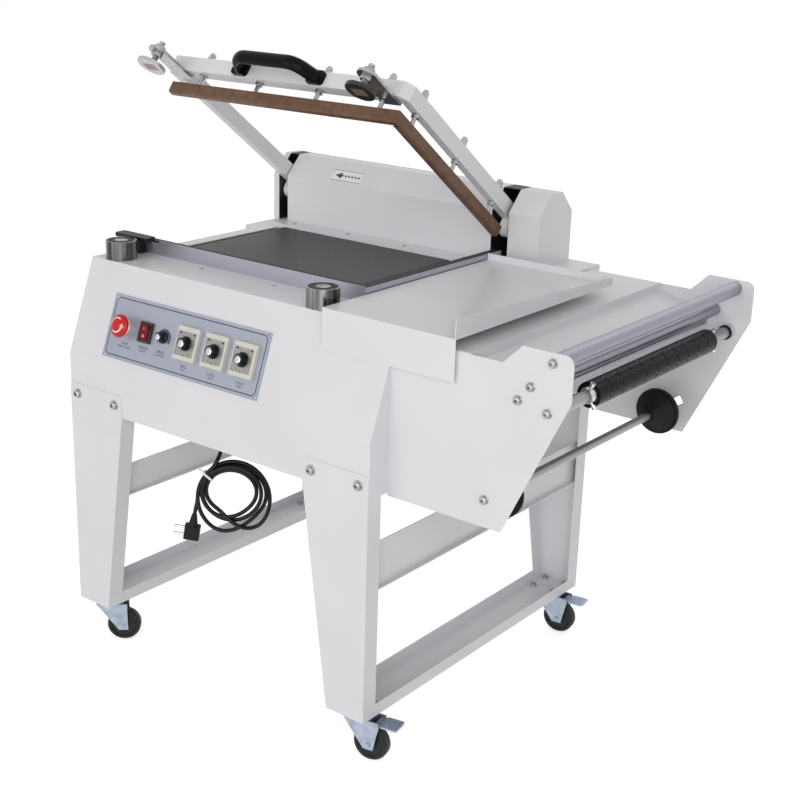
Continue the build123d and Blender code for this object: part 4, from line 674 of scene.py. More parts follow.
def quads(rows, columns):
    """Corner numbers of a grid's faces; its last column joins its first."""
    number = np.arange(rows * columns).reshape(rows, columns)
    beside = np.roll(number, -1, axis=1)
    return np.stack([number[:-1], beside[:-1], beside[1:], number[1:]], axis=-1).reshape(-1, 4)


def add_piece(name, mesh, material, body):
    """Put a mesh in the scene with its finish, on a body and with the slot it takes its colour from."""
    mesh.materials.append(material)
    piece = bpy.data.objects.new(name, mesh)
    scene.collection.objects.link(piece)
    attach(piece, body)
    return piece


def solid_piece(name, grids, material, body="base"):
    """One mesh from closed grids: points that meet at poles are merged and the faces look outwards."""
    points = np.concatenate([grid.reshape(-1, 3) for grid in grids])
    starts = np.cumsum([0] + [grid.shape[0] * grid.shape[1] for grid in grids[:-1]])
    faces = np.concatenate([quads(*grid.shape[:2]) + start for grid, start in zip(grids, starts)])
    mesh = bpy.data.meshes.new(name)
    mesh.from_pydata(points.tolist(), [], faces.tolist())
    shell = bmesh.new()
    shell.from_mesh(mesh)
    bmesh.ops.remove_doubles(shell, verts=shell.verts, dist=MERGE_DISTANCE)
    bmesh.ops.recalc_face_normals(shell, faces=shell.faces)
    shell.to_mesh(mesh)
    shell.free()
    mesh.shade_smooth()
    mesh.set_sharp_from_angle(angle=SHARP_ANGLE)
    print(name, "faces", len(mesh.polygons), "on", body)
    return add_piece(name, mesh, material, body)


def copies(grids, centres, out):
    """A small part's grids at several centres, on faces that look the same way."""
    axes = face_axes(out)
    return [placed(grid, centre, axes) for centre in centres for grid in grids]


# %% [markdown]
# ## Bolts and screws
# The legs hang on button-head bolts with washers, and smaller ones hold the film rollers. The head is a
# turned dome with a hexagon socket: the socket's rows take the hexagon's radius in place of a circle. The
# table, the cover's flange and the panel have low domed screws with a cross slot, which is a part of the
# dome that a mask over its points pushes down.

# %% Shapes of bolts and screws
WASHER_SHEET = 1.6
# How far a washer's chamfer goes in and down.
WASHER_EDGE = (0.4, 0.3)
# Radius and height along a button head's outline, as shares of the head's own.
BUTTON_OUTLINE = np.array([(0, 0), (1, 0), (1, 0.4), (0.95, 0.62), (0.84, 0.84), (0.62, 1)])
BUTTON_FLOOR = 0.35
DOME_ROWS = 9
DOME_FALL = 0.9
CROSS_REACH = 0.34
CROSS_DEPTH = 0.5
# The cone on a nut's top: its radius as a share of the nut's width, and its start as a share of the rise.
NUT_CONE = 0.49
NUT_WALL = 0.82
STUD_CHAMFER = 0.6


def socketed(outline, socket, floor_height):
    """A turned outline that ends in a hexagon socket: rows at its mouth, at its floor and in the middle."""
    wall = hex_wall(socket)
    radius = np.vstack([np.repeat(outline[:, :1], SEGMENTS, axis=1), wall, wall, wall * 0])
    return round_grid(radius, np.r_[outline[:, 1], outline[-1, 1], floor_height, floor_height])


def button_bolt(head, rise, socket, washer):
    """A washer and a domed head over it, with a hexagon socket sunk into the top."""
    edge = washer / 2
    chamfer = [(edge, WASHER_SHEET - WASHER_EDGE[1]), (edge - WASHER_EDGE[0], WASHER_SHEET)]
    ring = turned((0, 0), (edge, 0), *chamfer, (0, WASHER_SHEET))
    outline = BUTTON_OUTLINE * (head / 2, rise) + (0.0, WASHER_SHEET)
    return [ring, socketed(outline, socket, WASHER_SHEET + BUTTON_FLOOR * rise)]


def dome_screw(width, rise, slot):
    """A low dome whose height drops inside a cross: where a point is near either of two crossed lines."""
    share = np.linspace(1.0, 0.0, DOME_ROWS)[:, None]
    angle = angles(SEGMENTS)
    radius = np.repeat(share * width / 2, SEGMENTS, axis=1)
    off_line = np.minimum(np.abs(np.sin(angle)), np.abs(np.cos(angle))) * radius
    in_cross = (off_line < slot / 2) & (radius < CROSS_REACH * width)
    height = rise * np.sqrt(1.0 - DOME_FALL * share ** 2) - in_cross * rise * CROSS_DEPTH
    top = np.stack([radius * np.cos(angle), radius * np.sin(angle), height], axis=-1)
    return [np.concatenate([turned((0, 0), (width / 2, 0)), top])]


def hex_nut(across_flats, rise, stud, stud_rise):
    """A hexagon nut with its corners cut by a cone, and a stud's end standing out of it."""
    wall = hex_wall(across_flats)
    radius = np.vstack([wall * 0, wall, wall, np.minimum(wall, across_flats * NUT_CONE), wall * 0])
    nut = round_grid(radius, np.array([0.0, 0.0, NUT_WALL, 1.0, 1.0]) * rise)
    edge = stud / 2
    top = rise + stud_rise
    chamfer = [(edge, top - STUD_CHAMFER), (edge - STUD_CHAMFER, top)]
    return [nut, turned((0, rise), (edge, rise), *chamfer, (0, top))]


# %% Leg bolts and axle bolts
FRONT = (0.0, -1.0, 0.0)
BACK = (0.0, 1.0, 0.0)
LEG_BOLT_INSETS = (0.020, 0.117)
LEG_BOLT_HEIGHT = 0.501
leg_bolt = button_bolt(head=13.6, rise=5.2, socket=6.0, washer=18.0)
leg_low, leg_high = low("legs"), high("legs")
leg_bolt_x = [leg_low[0] + inset for inset in LEG_BOLT_INSETS]
leg_bolt_x += [leg_high[0] - inset for inset in LEG_BOLT_INSETS]
leg_bolts = copies(leg_bolt, [(x, leg_low[1], LEG_BOLT_HEIGHT) for x in leg_bolt_x], FRONT)
leg_bolts += copies(leg_bolt, [(x, leg_high[1], LEG_BOLT_HEIGHT) for x in leg_bolt_x], BACK)
solid_piece("leg_bolts", leg_bolts, bright_zinc)

FILM_AXLES = ("top_guide_roller", "middle_guide_roller", "lower_guide_roller", "perforator", "mandrel")
axle_places = [joints[name + "_spin"]["pos_m"] for name in FILM_AXLES]
axle_bolt = button_bolt(head=12.4, rise=5.2, socket=5.0, washer=15.0)
near_y, far_y = low("film_plates")[1], high("film_plates")[1]
axle_bolts = copies(axle_bolt, [(place[0], near_y, place[2]) for place in axle_places], FRONT)
axle_bolts += copies(axle_bolt, [(place[0], far_y, place[2]) for place in axle_places[:-1]], BACK)
solid_piece("axle_bolts", axle_bolts, bright_zinc)

# %% Caster nuts and table screws
UPWARD = (0.0, 0.0, 1.0)
SHEET = 0.002
CASTER_BOLT_HALF = 0.022
web_top = leg_low[2] + SHEET
swivels = [joint["pos_m"] for name, joint in joints.items() if name.startswith("caster_swivel")]
nut_places = [
    (place[0] + x * CASTER_BOLT_HALF, place[1] + y * CASTER_BOLT_HALF, web_top)
    for place in swivels for x, y in CORNERS
]
caster_nut = hex_nut(across_flats=10.0, rise=5.0, stud=6.0, stud_rise=3.0)
solid_piece("caster_nuts", copies(caster_nut, nut_places, UPWARD), bright_zinc)

TABLE_SCREWS = [(-0.140, -0.202), (0.030, -0.202)]
FLANGE_SCREW_COUNT = 4
FLANGE_SCREW_INSETS = (0.04, 0.03)
table_top = high("cabinet_shell")[2]
cover_low, cover_high = low("centre_cover"), high("centre_cover")
flange_ends = (cover_low[0] + FLANGE_SCREW_INSETS[0], cover_high[0] - FLANGE_SCREW_INSETS[0])
flange_y = cover_low[1] + FLANGE_SCREW_INSETS[1]
screw_places = [(*place, table_top) for place in TABLE_SCREWS]
screw_places += [(x, flange_y, table_top + SHEET) for x in np.linspace(*flange_ends, FLANGE_SCREW_COUNT)]
table_screw = dome_screw(width=8.0, rise=2.2, slot=1.2)
solid_piece("table_screws", copies(table_screw, screw_places, UPWARD), bright_zinc)

# %% [markdown]
# ## Control panel
# The panel is a brushed plate on the sloped front. Its dark border has cut corners that leave room for
# four screws. Places on it are distances along it and up it from its lower left corner, so everything
# follows the slope. Marks that lie on a curved or tilted control are draped: each point drops along the
# panel's normal onto that control.

# %% Panel places
PANEL_THICKNESS = 1.5
# Thickness of printed marks, and how far above the panel a dropped point starts.
PRINT = 0.12
RAY_START = 100.0
panel_out = np.array(joints["speed_knob_turn"]["axis"])
panel_axes = np.stack([(1.0, 0.0, 0.0), np.cross(panel_out, (1.0, 0.0, 0.0)), panel_out])
panel_corner = low("control_panel") + (0.0, 0.0, PANEL_THICKNESS * MM * panel_out[2])
panel_span = (high("control_panel") - panel_corner) / MM / (1.0, 1.0, panel_axes[1][2])
panel_width, panel_height = panel_span[[0, 2]]
print("panel", round(panel_width, 1), "by", round(panel_height, 1), "mm")


def on_panel(grid, along=0.0, up_by=0.0, out_by=0.0):
    """Local points shifted along, up and out of the panel, in the CAD frame."""
    return placed(np.asarray(grid) + (along, up_by, out_by), panel_corner, panel_axes)


def panel_place(node):
    """Where the middle of a control lies: distances along and up the panel from its lower left corner."""
    return (((low(node) + high(node)) / 2 - panel_corner) / MM @ panel_axes.T)[:2]


def draped(points, node, along, up_by):
    """Panel points dropped onto a node's surface; their own heights are kept above it."""
    tree = BVHTree.FromObject(nodes[node], bpy.context.evaluated_depsgraph_get())
    flat = np.asarray(points, float).reshape(-1, 3)
    starts = on_panel(flat * (1, 1, 0), along, up_by, RAY_START)
    drops = np.array([tree.ray_cast(Vector(start), Vector(-panel_out))[3] for start in starts]) / MM
    raised = np.c_[flat[:, :2], RAY_START - drops + flat[:, 2]]
    return on_panel(raised, along, up_by).reshape(np.shape(points))


def words(text, height, along, up_by, out_by=0.0):
    """Thin raised lettering: the text is made a mesh first, then its points are carried to the panel."""
    name = f"print_{text}_{round(along)}_{round(up_by)}".replace("/", "_").replace(" ", "_")
    data = bpy.data.curves.new(name, "FONT")
    data.body = text
    data.size = height
    data.align_x = "CENTER"
    data.align_y = "CENTER"
    data.extrude = PRINT / 2
    source = bpy.data.objects.new(name, data)
    mesh = bpy.data.meshes.new_from_object(source)
    bpy.data.objects.remove(source)
    points = np.empty(len(mesh.vertices) * 3)
    mesh.vertices.foreach_get("co", points)
    moved = on_panel(points.reshape(-1, 3), along, up_by, out_by + PRINT / 2)
    mesh.vertices.foreach_set("co", moved.ravel())
    mesh.update()
    add_piece(name, mesh, ink, "base")


# %% Panel border, screws and labels
ink = finish("ink", (0.03, 0.035, 0.05), 0.5, tone=0.3, tone_size=0.004, bump=0.000002)
white_print = finish("white_print", (0.82, 0.82, 0.8), 0.5, tone=0.1, tone_size=0.004, bump=0.000002)
BORDER_INSET = 6.2
BORDER_CUT = 6.5
BORDER_WIDTH = 1.7
SCREW_INSET = 5.2
half_panel = np.array([panel_width, panel_height]) / 2
half_border = half_panel - BORDER_INSET
border = []
for corner in np.array(CORNERS, float):
    ends = [corner * (half_border - (BORDER_CUT, 0)), corner * (half_border - (0, BORDER_CUT))]
    border += ends if corner[0] * corner[1] < 0 else ends[::-1]
border_bar = ribbon(border, BORDER_WIDTH, PRINT, closed=True)
solid_piece("panel_border", [on_panel(border_bar, *half_panel)], ink)
screw_corners = [half_panel + np.array(corner) * (half_panel - SCREW_INSET) for corner in CORNERS]
panel_screw = dome_screw(width=6.4, rise=1.8, slot=1.0)
panel_screws = [on_panel(grid, *place) for place in screw_corners for grid in panel_screw]
solid_piece("panel_screws", panel_screws, bright_zinc)

speed_place = panel_place("speed_knob")
rocker_place = panel_place("power_rocker")
estop_place = panel_place("estop_button")
timer_places = [panel_place(f"timer_knob_{number}") for number in (1, 2, 3)]
control_line = speed_place[1]
# The two lines under each control, its place, and how far below the row of controls the first line lies.
LABELS = [
    (("STOP", "TURN TO FREE"), estop_place, 27.5),
    (("POWER", "ON/OFF"), rocker_place, 26.0),
    (("SPEED", "SLOW-FAST"), speed_place, 25.0),
    (("SEAL", "TIME 1"), timer_places[0], 37.5),
    (("COOL", "TIME 2"), timer_places[1], 37.5),
    (("HOLD", "TIME 3"), timer_places[2], 37.5),
]
LINE_SIZES = (6.6, 4.6)
LINE_DROPS = (0.0, 5.8)
for lines, place, drop in LABELS:
    for line, size, line_drop in zip(lines, LINE_SIZES, LINE_DROPS):
        words(line, size, place[0], control_line - drop - line_drop)

# %% [markdown]
# ## Dials, knobs and the stop button
# The speed knob sits in a printed crescent that widens with the setting: a bar along an arc whose width
# grows. Each timer has a silver face with ticks and numbers round its knob, and the knobs have a domed
# bright cap. The stop button carries two curved arrows that say how to turn it free.

# %% Dials
silver_face = finish(
    "silver_face", (0.34, 0.336, 0.325), 0.38, metallic=0.6, tone=0.1, tone_size=0.01, bump=0.000003,
)
CRESCENT_RADIUS = 14.6
CRESCENT_SWEEP = (250.0, -30.0)
CRESCENT_WIDTHS = (0.6, 4.0)
CRESCENT_STEPS = 40
FACE_LEVEL = 6.5
FACE_SHEET = 0.2
FACE_SIDE = 42.6
TICK_COUNT = 11
TICK_SWEEP = (240.0, -60.0)
TICK_RADII = (14.4, 16.6)
TICK_WIDTH = 0.6
NUMBER_RADIUS = 18.7
NUMBER_HEIGHT = 3.6
DOT_PLACE = (16.0, 18.6)

crescent_line = arc_line(CRESCENT_RADIUS, *CRESCENT_SWEEP, CRESCENT_STEPS)
crescent = ribbon(crescent_line, np.linspace(*CRESCENT_WIDTHS, CRESCENT_STEPS), PRINT)
solid_piece("speed_scale", [on_panel(crescent, *speed_place)], ink)

face_sheet = plate(FACE_SIDE, FACE_SIDE, FACE_SHEET)
print_level = FACE_LEVEL + FACE_SHEET
directions = arc_line(1.0, *TICK_SWEEP, TICK_COUNT)
tick_bars = [ribbon(np.outer(TICK_RADII, direction), TICK_WIDTH, PRINT) for direction in directions]
dot = turned((0, 0), (1.7, 0), (1.7, 0.5), (0, 0.9), segments=16)
faces, ticks, dots = [], [], []
for place in timer_places:
    faces.append(on_panel(face_sheet, *place, FACE_LEVEL))
    ticks += [on_panel(bar, *place, print_level) for bar in tick_bars]
    for side in (-DOT_PLACE[0], DOT_PLACE[0]):
        dots.append(on_panel(dot, place[0] + side, place[1] + DOT_PLACE[1], print_level))
    for value in range(0, TICK_COUNT, 2):
        words(str(value), NUMBER_HEIGHT, *(place + NUMBER_RADIUS * directions[value]), print_level)
    words("SEC", NUMBER_HEIGHT, place[0], place[1] - NUMBER_RADIUS, print_level)
solid_piece("timer_faces", faces, silver_face)
solid_piece("timer_ticks", ticks, ink)
solid_piece("timer_dots", dots, gloss_black)

# %% Knob caps
chrome = finish(
    "chrome", (0.6, 0.6, 0.6), 0.14, metallic=1.0, tone=0.05, tone_size=0.01,
    bump=0.000002, rough_spread=0.03,
)
# Radius and height along a cap's outline, as shares of the cap's own.
CAP_OUTLINE = np.array([(0, 0), (1, 0), (1, 0.3), (0.8, 0.75), (0.4, 1), (0, 1)])
POINTER_REACH = (0.4, 1.6)
POINTER_WIDTH = 1.0


def knob_cap(name, node, place, radius, rise):
    """A domed bright cap on a knob's flat top, with a white pointer line at the knob's edge."""
    cap = turned(*(CAP_OUTLINE * (radius, rise)))
    top = draped(cap[:1, :1], node, *place).reshape(3)
    level = (top - panel_corner) / MM @ panel_out
    solid_piece(name + "_cap", [on_panel(cap, *place, level)], chrome, node)
    pointer = ribbon([(0.0, radius + reach) for reach in POINTER_REACH], POINTER_WIDTH, PRINT)
    solid_piece(name + "_pointer", [on_panel(pointer, *place, level)], white_print, node)


for number, place in enumerate(timer_places, 1):
    knob_cap(f"timer_{number}", f"timer_knob_{number}", place, radius=6.4, rise=1.4)
knob_cap("speed", "speed_knob", speed_place, radius=5.2, rise=1.0)

# %% Stop button and rocker marks
ARROW_STARTS = (60.0, 240.0)
ARROW_RADIUS = 12.6
ARROW_SWEEP = 110.0
ARROW_WIDTH = 2.2
ARROW_STEPS = 20
TIP_SWEEP = (108.0, 140.0)
TIP_WIDTHS = (6.4, 0.3)
TIP_STEPS = 8
MARK_UP = 6.5
STROKE_HALF = 1.8
STROKE_WIDTH = 0.9
CIRCLE_RADIUS = 2.0
CIRCLE_WIDTH = 0.8
CIRCLE_STEPS = 24
arrow_marks = []
for start in ARROW_STARTS:
    arrow_line = arc_line(ARROW_RADIUS, start, start + ARROW_SWEEP, ARROW_STEPS)
    tip_line = arc_line(ARROW_RADIUS, start + TIP_SWEEP[0], start + TIP_SWEEP[1], TIP_STEPS)
    arrow = ribbon(arrow_line, ARROW_WIDTH, PRINT)
    tip = ribbon(tip_line, np.linspace(*TIP_WIDTHS, TIP_STEPS), PRINT)
    arrow_marks += [draped(grid, "estop_button", *estop_place) for grid in (arrow, tip)]
solid_piece("stop_arrows", arrow_marks, white_print, "estop_button")
stroke = ribbon([(0.0, -STROKE_HALF), (0.0, STROKE_HALF)], STROKE_WIDTH, PRINT) + (0.0, MARK_UP, 0.0)
circle_line = arc_line(CIRCLE_RADIUS, 0.0, 360.0 - 360.0 / CIRCLE_STEPS, CIRCLE_STEPS)
circle = ribbon(circle_line, CIRCLE_WIDTH, PRINT, closed=True) - (0.0, MARK_UP, 0.0)
rocker_marks = [draped(grid, "power_rocker", *rocker_place) for grid in (stroke, circle)]
solid_piece("rocker_marks", rocker_marks, white_print, "power_rocker")

# %% [markdown]
# ## Magnets, strikers and jaw lips
# Each holding magnet is a steel can with its coil potted in a black ring round the pole. The strikers on
# the arm meet them, and each has a bronze plate in its face and hangs on a threaded bolt with two nuts.
# Parts of the arm are written as they lie when it is closed and then turned about its hinge, because
# closed sizes are the ones that can be measured. The lower jaw's pads lie in channels, whose outer walls
# are thin lips of bare aluminium about as high as the pads.

# %% Magnets and strikers
hinge = joints["seal_arm_hinge"]
hinge_place = np.array(hinge["pos_m"])
open_angle = math.radians(hinge["range_deg"][1])
to_open = np.array(Matrix.Rotation(-open_angle, 3, "X"))


def arm_raised(points):
    """Points of the closed arm, turned about its hinge to the raised pose."""
    return (points - hinge_place) @ to_open.T + hinge_place


magnet_low, magnet_high = low("electromagnets"), high("electromagnets")
magnet_radius = (magnet_high[1] - magnet_low[1]) / 2
magnet_y = (magnet_low[1] + magnet_high[1]) / 2
magnet_x = (magnet_low[0] + magnet_radius, magnet_high[0] - magnet_radius)
magnet_tops = [(x, magnet_y, magnet_high[2]) for x in magnet_x]
POTTING_INNER = 12.2
POTTING_OUTER = 24.3
POTTING_DEPTH = 2.0
POTTING_DROP = 0.5
potting = turned(
    (POTTING_INNER, -POTTING_DEPTH), (POTTING_OUTER, -POTTING_DEPTH), (POTTING_OUTER, -POTTING_DROP),
    (POTTING_INNER, -POTTING_DROP), (POTTING_INNER, -POTTING_DEPTH),
)
solid_piece("magnet_potting", copies([potting], magnet_tops, UPWARD), black_rubber)

bronze = finish("bronze", (0.33, 0.235, 0.175), 0.4, metallic=0.6, tone=0.25, tone_size=0.006, bump=0.00001)
STRIKER_GAP = 0.5
INLAY = (26.0, 18.0, 0.2)
striker_faces = [np.array(top) + (0.0, 0.0, STRIKER_GAP * MM) for top in magnet_tops]
inlays = [arm_raised(grid) for grid in copies([plate(*INLAY)], striker_faces, (0.0, 0.0, -1.0))]
solid_piece("striker_inlays", inlays, bronze, "seal_arm")

# %% Lips of the lower jaw
# Thickness and height of each lip, in millimetres.
FRONT_LIP = (1.4, 5.0)
SIDE_LIP = (1.2, 8.0)
LIP_OVER_PAD = 0.2
TEE_GAP = 0.5
jaw_low, jaw_high = low("lower_jaw") / MM, high("lower_jaw") / MM
pad_top = high("jaw_pads")[2] / MM
lip_left = high("stop_bracket")[0] / MM + TEE_GAP
lip_y = jaw_low[1] + FRONT_LIP[0] / 2
front_lip = ribbon([(lip_left, lip_y), (jaw_high[0], lip_y)], *FRONT_LIP) + (0.0, 0.0, jaw_high[2])
lip_x = jaw_high[0] + SIDE_LIP[0] / 2
side_foot = pad_top + LIP_OVER_PAD - SIDE_LIP[1]
side_lip = ribbon([(lip_x, jaw_low[1]), (lip_x, jaw_high[1])], *SIDE_LIP) + (0.0, 0.0, side_foot)
solid_piece("jaw_lips", [front_lip * MM, side_lip * MM], jaw_aluminium)

# %% Striker bolts
ARM_RISE = 9.0
BRACKET_SHEET = 5.0
STRIKER_SHEET = 8.0
NUT_FLATS = 17.3
NUT_RISE = 8.1
BOLT_END = 16.2
NUT_CUT = 0.9
NUT_CUT_SHARE = 0.53
THREAD_RADII = (5.05, 5.5)
THREAD_PITCH = 1.5
arm_underside = hinge_place[2] / MM + ARM_RISE
bolt_foot = striker_faces[0][2] / MM + STRIKER_SHEET - arm_underside


def threaded_rod(start, end):
    """A turned bar whose radius goes from root to crest and back once in each pitch."""
    height = np.arange(start, end, THREAD_PITCH / 2)
    radius = np.resize(THREAD_RADII, len(height))
    rows = np.c_[np.r_[0.0, radius, 0.0], np.r_[start, height, height[-1]]]
    return turned(*rows)


def corner_nut(start, end):
    """A hexagon nut that has a corner on its first axis, with its edges cut back a little at both ends."""
    wall = hex_wall(NUT_FLATS, math.pi / 6)
    cut = np.minimum(wall, NUT_FLATS * NUT_CUT_SHARE)
    rows = np.vstack([wall * 0, cut, wall, wall, cut, wall * 0])
    return round_grid(rows, np.array([start, start, start + NUT_CUT, end - NUT_CUT, end, end]))


striker_bolt = [
    threaded_rod(bolt_foot, BOLT_END),
    corner_nut(-BRACKET_SHEET - NUT_RISE, -BRACKET_SHEET),
    corner_nut(0.0, NUT_RISE),
]
bolt_places = [(x, magnet_y, arm_underside * MM) for x in magnet_x]
striker_bolts = [arm_raised(grid) for grid in copies(striker_bolt, bolt_places, UPWARD)]
solid_piece("striker_bolts", striker_bolts, bright_zinc, "seal_arm")

# %% [markdown]
# ## Direction label
# The rear cover has a small label whose arrow shows the way that goods travel. The label is a thin plate
# on the cover's slope with a printed frame. Its arrow is a tapered head and a row of dashes.

# %% Direction label
label_white = finish("label_white", (0.86, 0.86, 0.85), 0.4, tone=0.04, tone_size=0.01, bump=0.000002)
label_red = finish("label_red", (0.13, 0.005, 0.02), 0.45, tone=0.15, tone_size=0.01, bump=0.000002)
label_grey = finish("label_grey", (0.25, 0.24, 0.32), 0.45, tone=0.1, tone_size=0.01, bump=0.000002)
LABEL_CENTRE = np.array([-0.1705, 0.22765, 0.84676])
LABEL_OUT = np.array([0.0, -0.726, 0.688])
LABEL_SIZE = (76.0, 25.0, 0.15)
LABEL_MARGIN = 0.9
LABEL_LINE = 1.3
LABEL_TIP = (-30.0, -14.0)
LABEL_TIP_WIDTHS = (0.4, 14.0)
DASH_STARTS = np.arange(-14.2, 28.0, 8.1)
DASH_LENGTH = 4.6
DASH_WIDTH = 4.0
solid_piece("direction_label", copies([plate(*LABEL_SIZE)], [LABEL_CENTRE], LABEL_OUT), label_white)
frame_half = np.array(LABEL_SIZE[:2]) / 2 - LABEL_MARGIN
label_frame = ribbon(np.array(CORNERS) * frame_half, LABEL_LINE, PRINT, closed=True)
label_arrow = [ribbon([(x, 0.0) for x in LABEL_TIP], LABEL_TIP_WIDTHS, PRINT)]
label_arrow += [ribbon([(x, 0.0), (x + DASH_LENGTH, 0.0)], DASH_WIDTH, PRINT) for x in DASH_STARTS]
label_top = [LABEL_CENTRE + LABEL_OUT * LABEL_SIZE[2] * MM]
solid_piece("direction_marks", copies(label_arrow, label_top, LABEL_OUT), label_red)
solid_piece("direction_frame", copies([label_frame], label_top, LABEL_OUT), label_grey)

# %% [markdown]
# ## Perforator
# The perforator pricks holes in the film, so that air can leave the pack. Black rings stand side by side
# on a shaft with needle tips in the seams between them, and a collar with three socket screws clamps each
# end. One turned profile holds the whole row: a ring's outline with rounded shoulders is repeated along
# the shaft, and the shoulders catch the light at each seam.

# %% Perforator rings and needles
RING_COUNT = 11
RING_RADIUS = 20.0
SEAM_FLOOR = 18.4
SEAM_HALF = 0.5
SHOULDER = 0.9
SHOULDER_MIDDLE = 0.27 * SHOULDER
SLEEVE_BORE = 10.3
RECESS_RADIUS = 15.5
RECESS_DEPTH = 8.0
NEAR_REACH = 7.0
SLEEVE_SEGMENTS = 48
NEEDLES_PER_SEAM = 8
NEEDLE_START = 40.0
NEEDLE_SINK = 0.2
perforator_axis = np.array(joints["perforator_spin"]["pos_m"])
sleeve_near = (low("perforator_sleeve")[1] - perforator_axis[1]) / MM - NEAR_REACH
sleeve_far = (high("perforator_sleeve")[1] - perforator_axis[1]) / MM
near_floor, far_floor = sleeve_near + RECESS_DEPTH, sleeve_far - RECESS_DEPTH
ring_pitch = (sleeve_far - sleeve_near) / RING_COUNT
half_ring = np.array([
    (SEAM_FLOOR, 0.0), (SEAM_FLOOR, SEAM_HALF), (RING_RADIUS - SHOULDER, SEAM_HALF),
    (RING_RADIUS - SHOULDER_MIDDLE, SEAM_HALF + SHOULDER_MIDDLE), (RING_RADIUS, SEAM_HALF + SHOULDER),
    (RING_RADIUS, SEAM_HALF + 2.0 * SHOULDER),
])
ring = np.vstack([half_ring, (half_ring * (1, -1) + (0.0, ring_pitch))[::-1]])
ring_starts = sleeve_near + ring_pitch * np.arange(RING_COUNT)
rings = (ring + np.c_[0.0 * ring_starts, ring_starts][:, None, :]).reshape(-1, 2)
near_end = [(SLEEVE_BORE, near_floor), (RECESS_RADIUS, near_floor), (RECESS_RADIUS, sleeve_near)]
far_end = [(RECESS_RADIUS, sleeve_far), (RECESS_RADIUS, far_floor), (SLEEVE_BORE, far_floor)]
sleeve = turned(*near_end, *rings, *far_end, near_end[0], segments=SLEEVE_SEGMENTS)
perforator_rings = solid_piece(
    "perforator_rings", copies([sleeve], [perforator_axis], BACK), ring_black, "perforator"
)
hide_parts("perforator_sleeve")


def round_shaft(grids, along, radius, turns):
    """Grids that stand on a circle round the perforator's axis, one set for each angle in degrees."""
    spots = []
    for turn_angle in np.radians(turns):
        outward = np.array([math.cos(turn_angle), 0.0, math.sin(turn_angle)])
        centre = perforator_axis + outward * radius * MM + (0.0, along * MM, 0.0)
        spots += copies(grids, [centre], outward)
    return spots


needle = turned((0, 0), (0.6, 0), (0.2, 2.2), (0, 2.5), segments=8)
needle_turns = NEEDLE_START + np.arange(NEEDLES_PER_SEAM) * 360.0 / NEEDLES_PER_SEAM
needles = []
for seam in ring_starts[1:]:
    needles += round_shaft([needle], seam, SEAM_FLOOR - NEEDLE_SINK, needle_turns)
solid_piece("perforator_needles", needles, chrome, "perforator")

# %% Perforator shaft and collars
SHAFT_RADIUS = 10.0
JOURNAL_RADIUS = 5.0
JOURNAL_LENGTH = 2.3
COLLAR_RADIUS = 14.6
COLLAR_NOSE = 12.2
COLLAR_PRESS = 0.1
COLLAR_STEPS = 10
COLLAR_LENGTH = 15.0
SPACER_RADIUS = 12.2
SPACER_NOSE = 11.6
SPACER_LENGTH = 14.0
CLIP_RADIUS = 12.8
CLIP_LENGTH = 2.0
CHAMFER = 1.0
HEAD_CHAMFER = 0.5
SOCKET_DEPTH = 0.6
SCREW_SINK = 1.5
SCREW_FROM_END = 4.2
SCREW_TURNS = (68.0, -52.0, 188.0)
END_GAP = 0.3
shaft_near = (low("perforator_shaft")[1] - perforator_axis[1]) / MM + END_GAP
shaft_far = (high("perforator_shaft")[1] - perforator_axis[1]) / MM - END_GAP
near_shoulder, far_shoulder = shaft_near + JOURNAL_LENGTH, shaft_far - JOURNAL_LENGTH
spindle = turned(
    (0, shaft_near), (JOURNAL_RADIUS, shaft_near), (JOURNAL_RADIUS, near_shoulder),
    (SHAFT_RADIUS, near_shoulder), (SHAFT_RADIUS, far_shoulder), (JOURNAL_RADIUS, far_shoulder),
    (JOURNAL_RADIUS, shaft_far), (0, shaft_far),
)
perforator_spindle = solid_piece(
    "perforator_spindle", copies([spindle], [perforator_axis], BACK), shaft_steel, "perforator"
)
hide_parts("perforator_shaft")


def ring_collar(outer, inner, radius, nose):
    """A turned collar: a flange on its inner side that tapers to a nose on its outer one.
    The last row of its profile meets the first."""
    bore = SHAFT_RADIUS - COLLAR_PRESS
    step = (inner - outer) / COLLAR_STEPS
    waist = nose + 0.5 * (radius - nose)
    return turned(
        (bore, outer), (nose - CHAMFER, outer), (nose, outer + step), (waist, outer + 5 * step),
        (radius, outer + 6 * step), (radius, inner - step), (radius - CHAMFER, inner), (bore, inner),
        (bore, outer),
    )


def socket_screw(shank, length, head, rise, socket):
    """A round shank and a cylinder head with a hexagon socket sunk into its top."""
    top = length + rise
    edge = head / 2
    outline = np.array([
        (0, 0), (shank / 2, 0), (shank / 2, length), (edge, length), (edge, top - HEAD_CHAMFER),
        (edge - HEAD_CHAMFER, top),
    ])
    return [socketed(outline, socket, top - SOCKET_DEPTH * rise)]


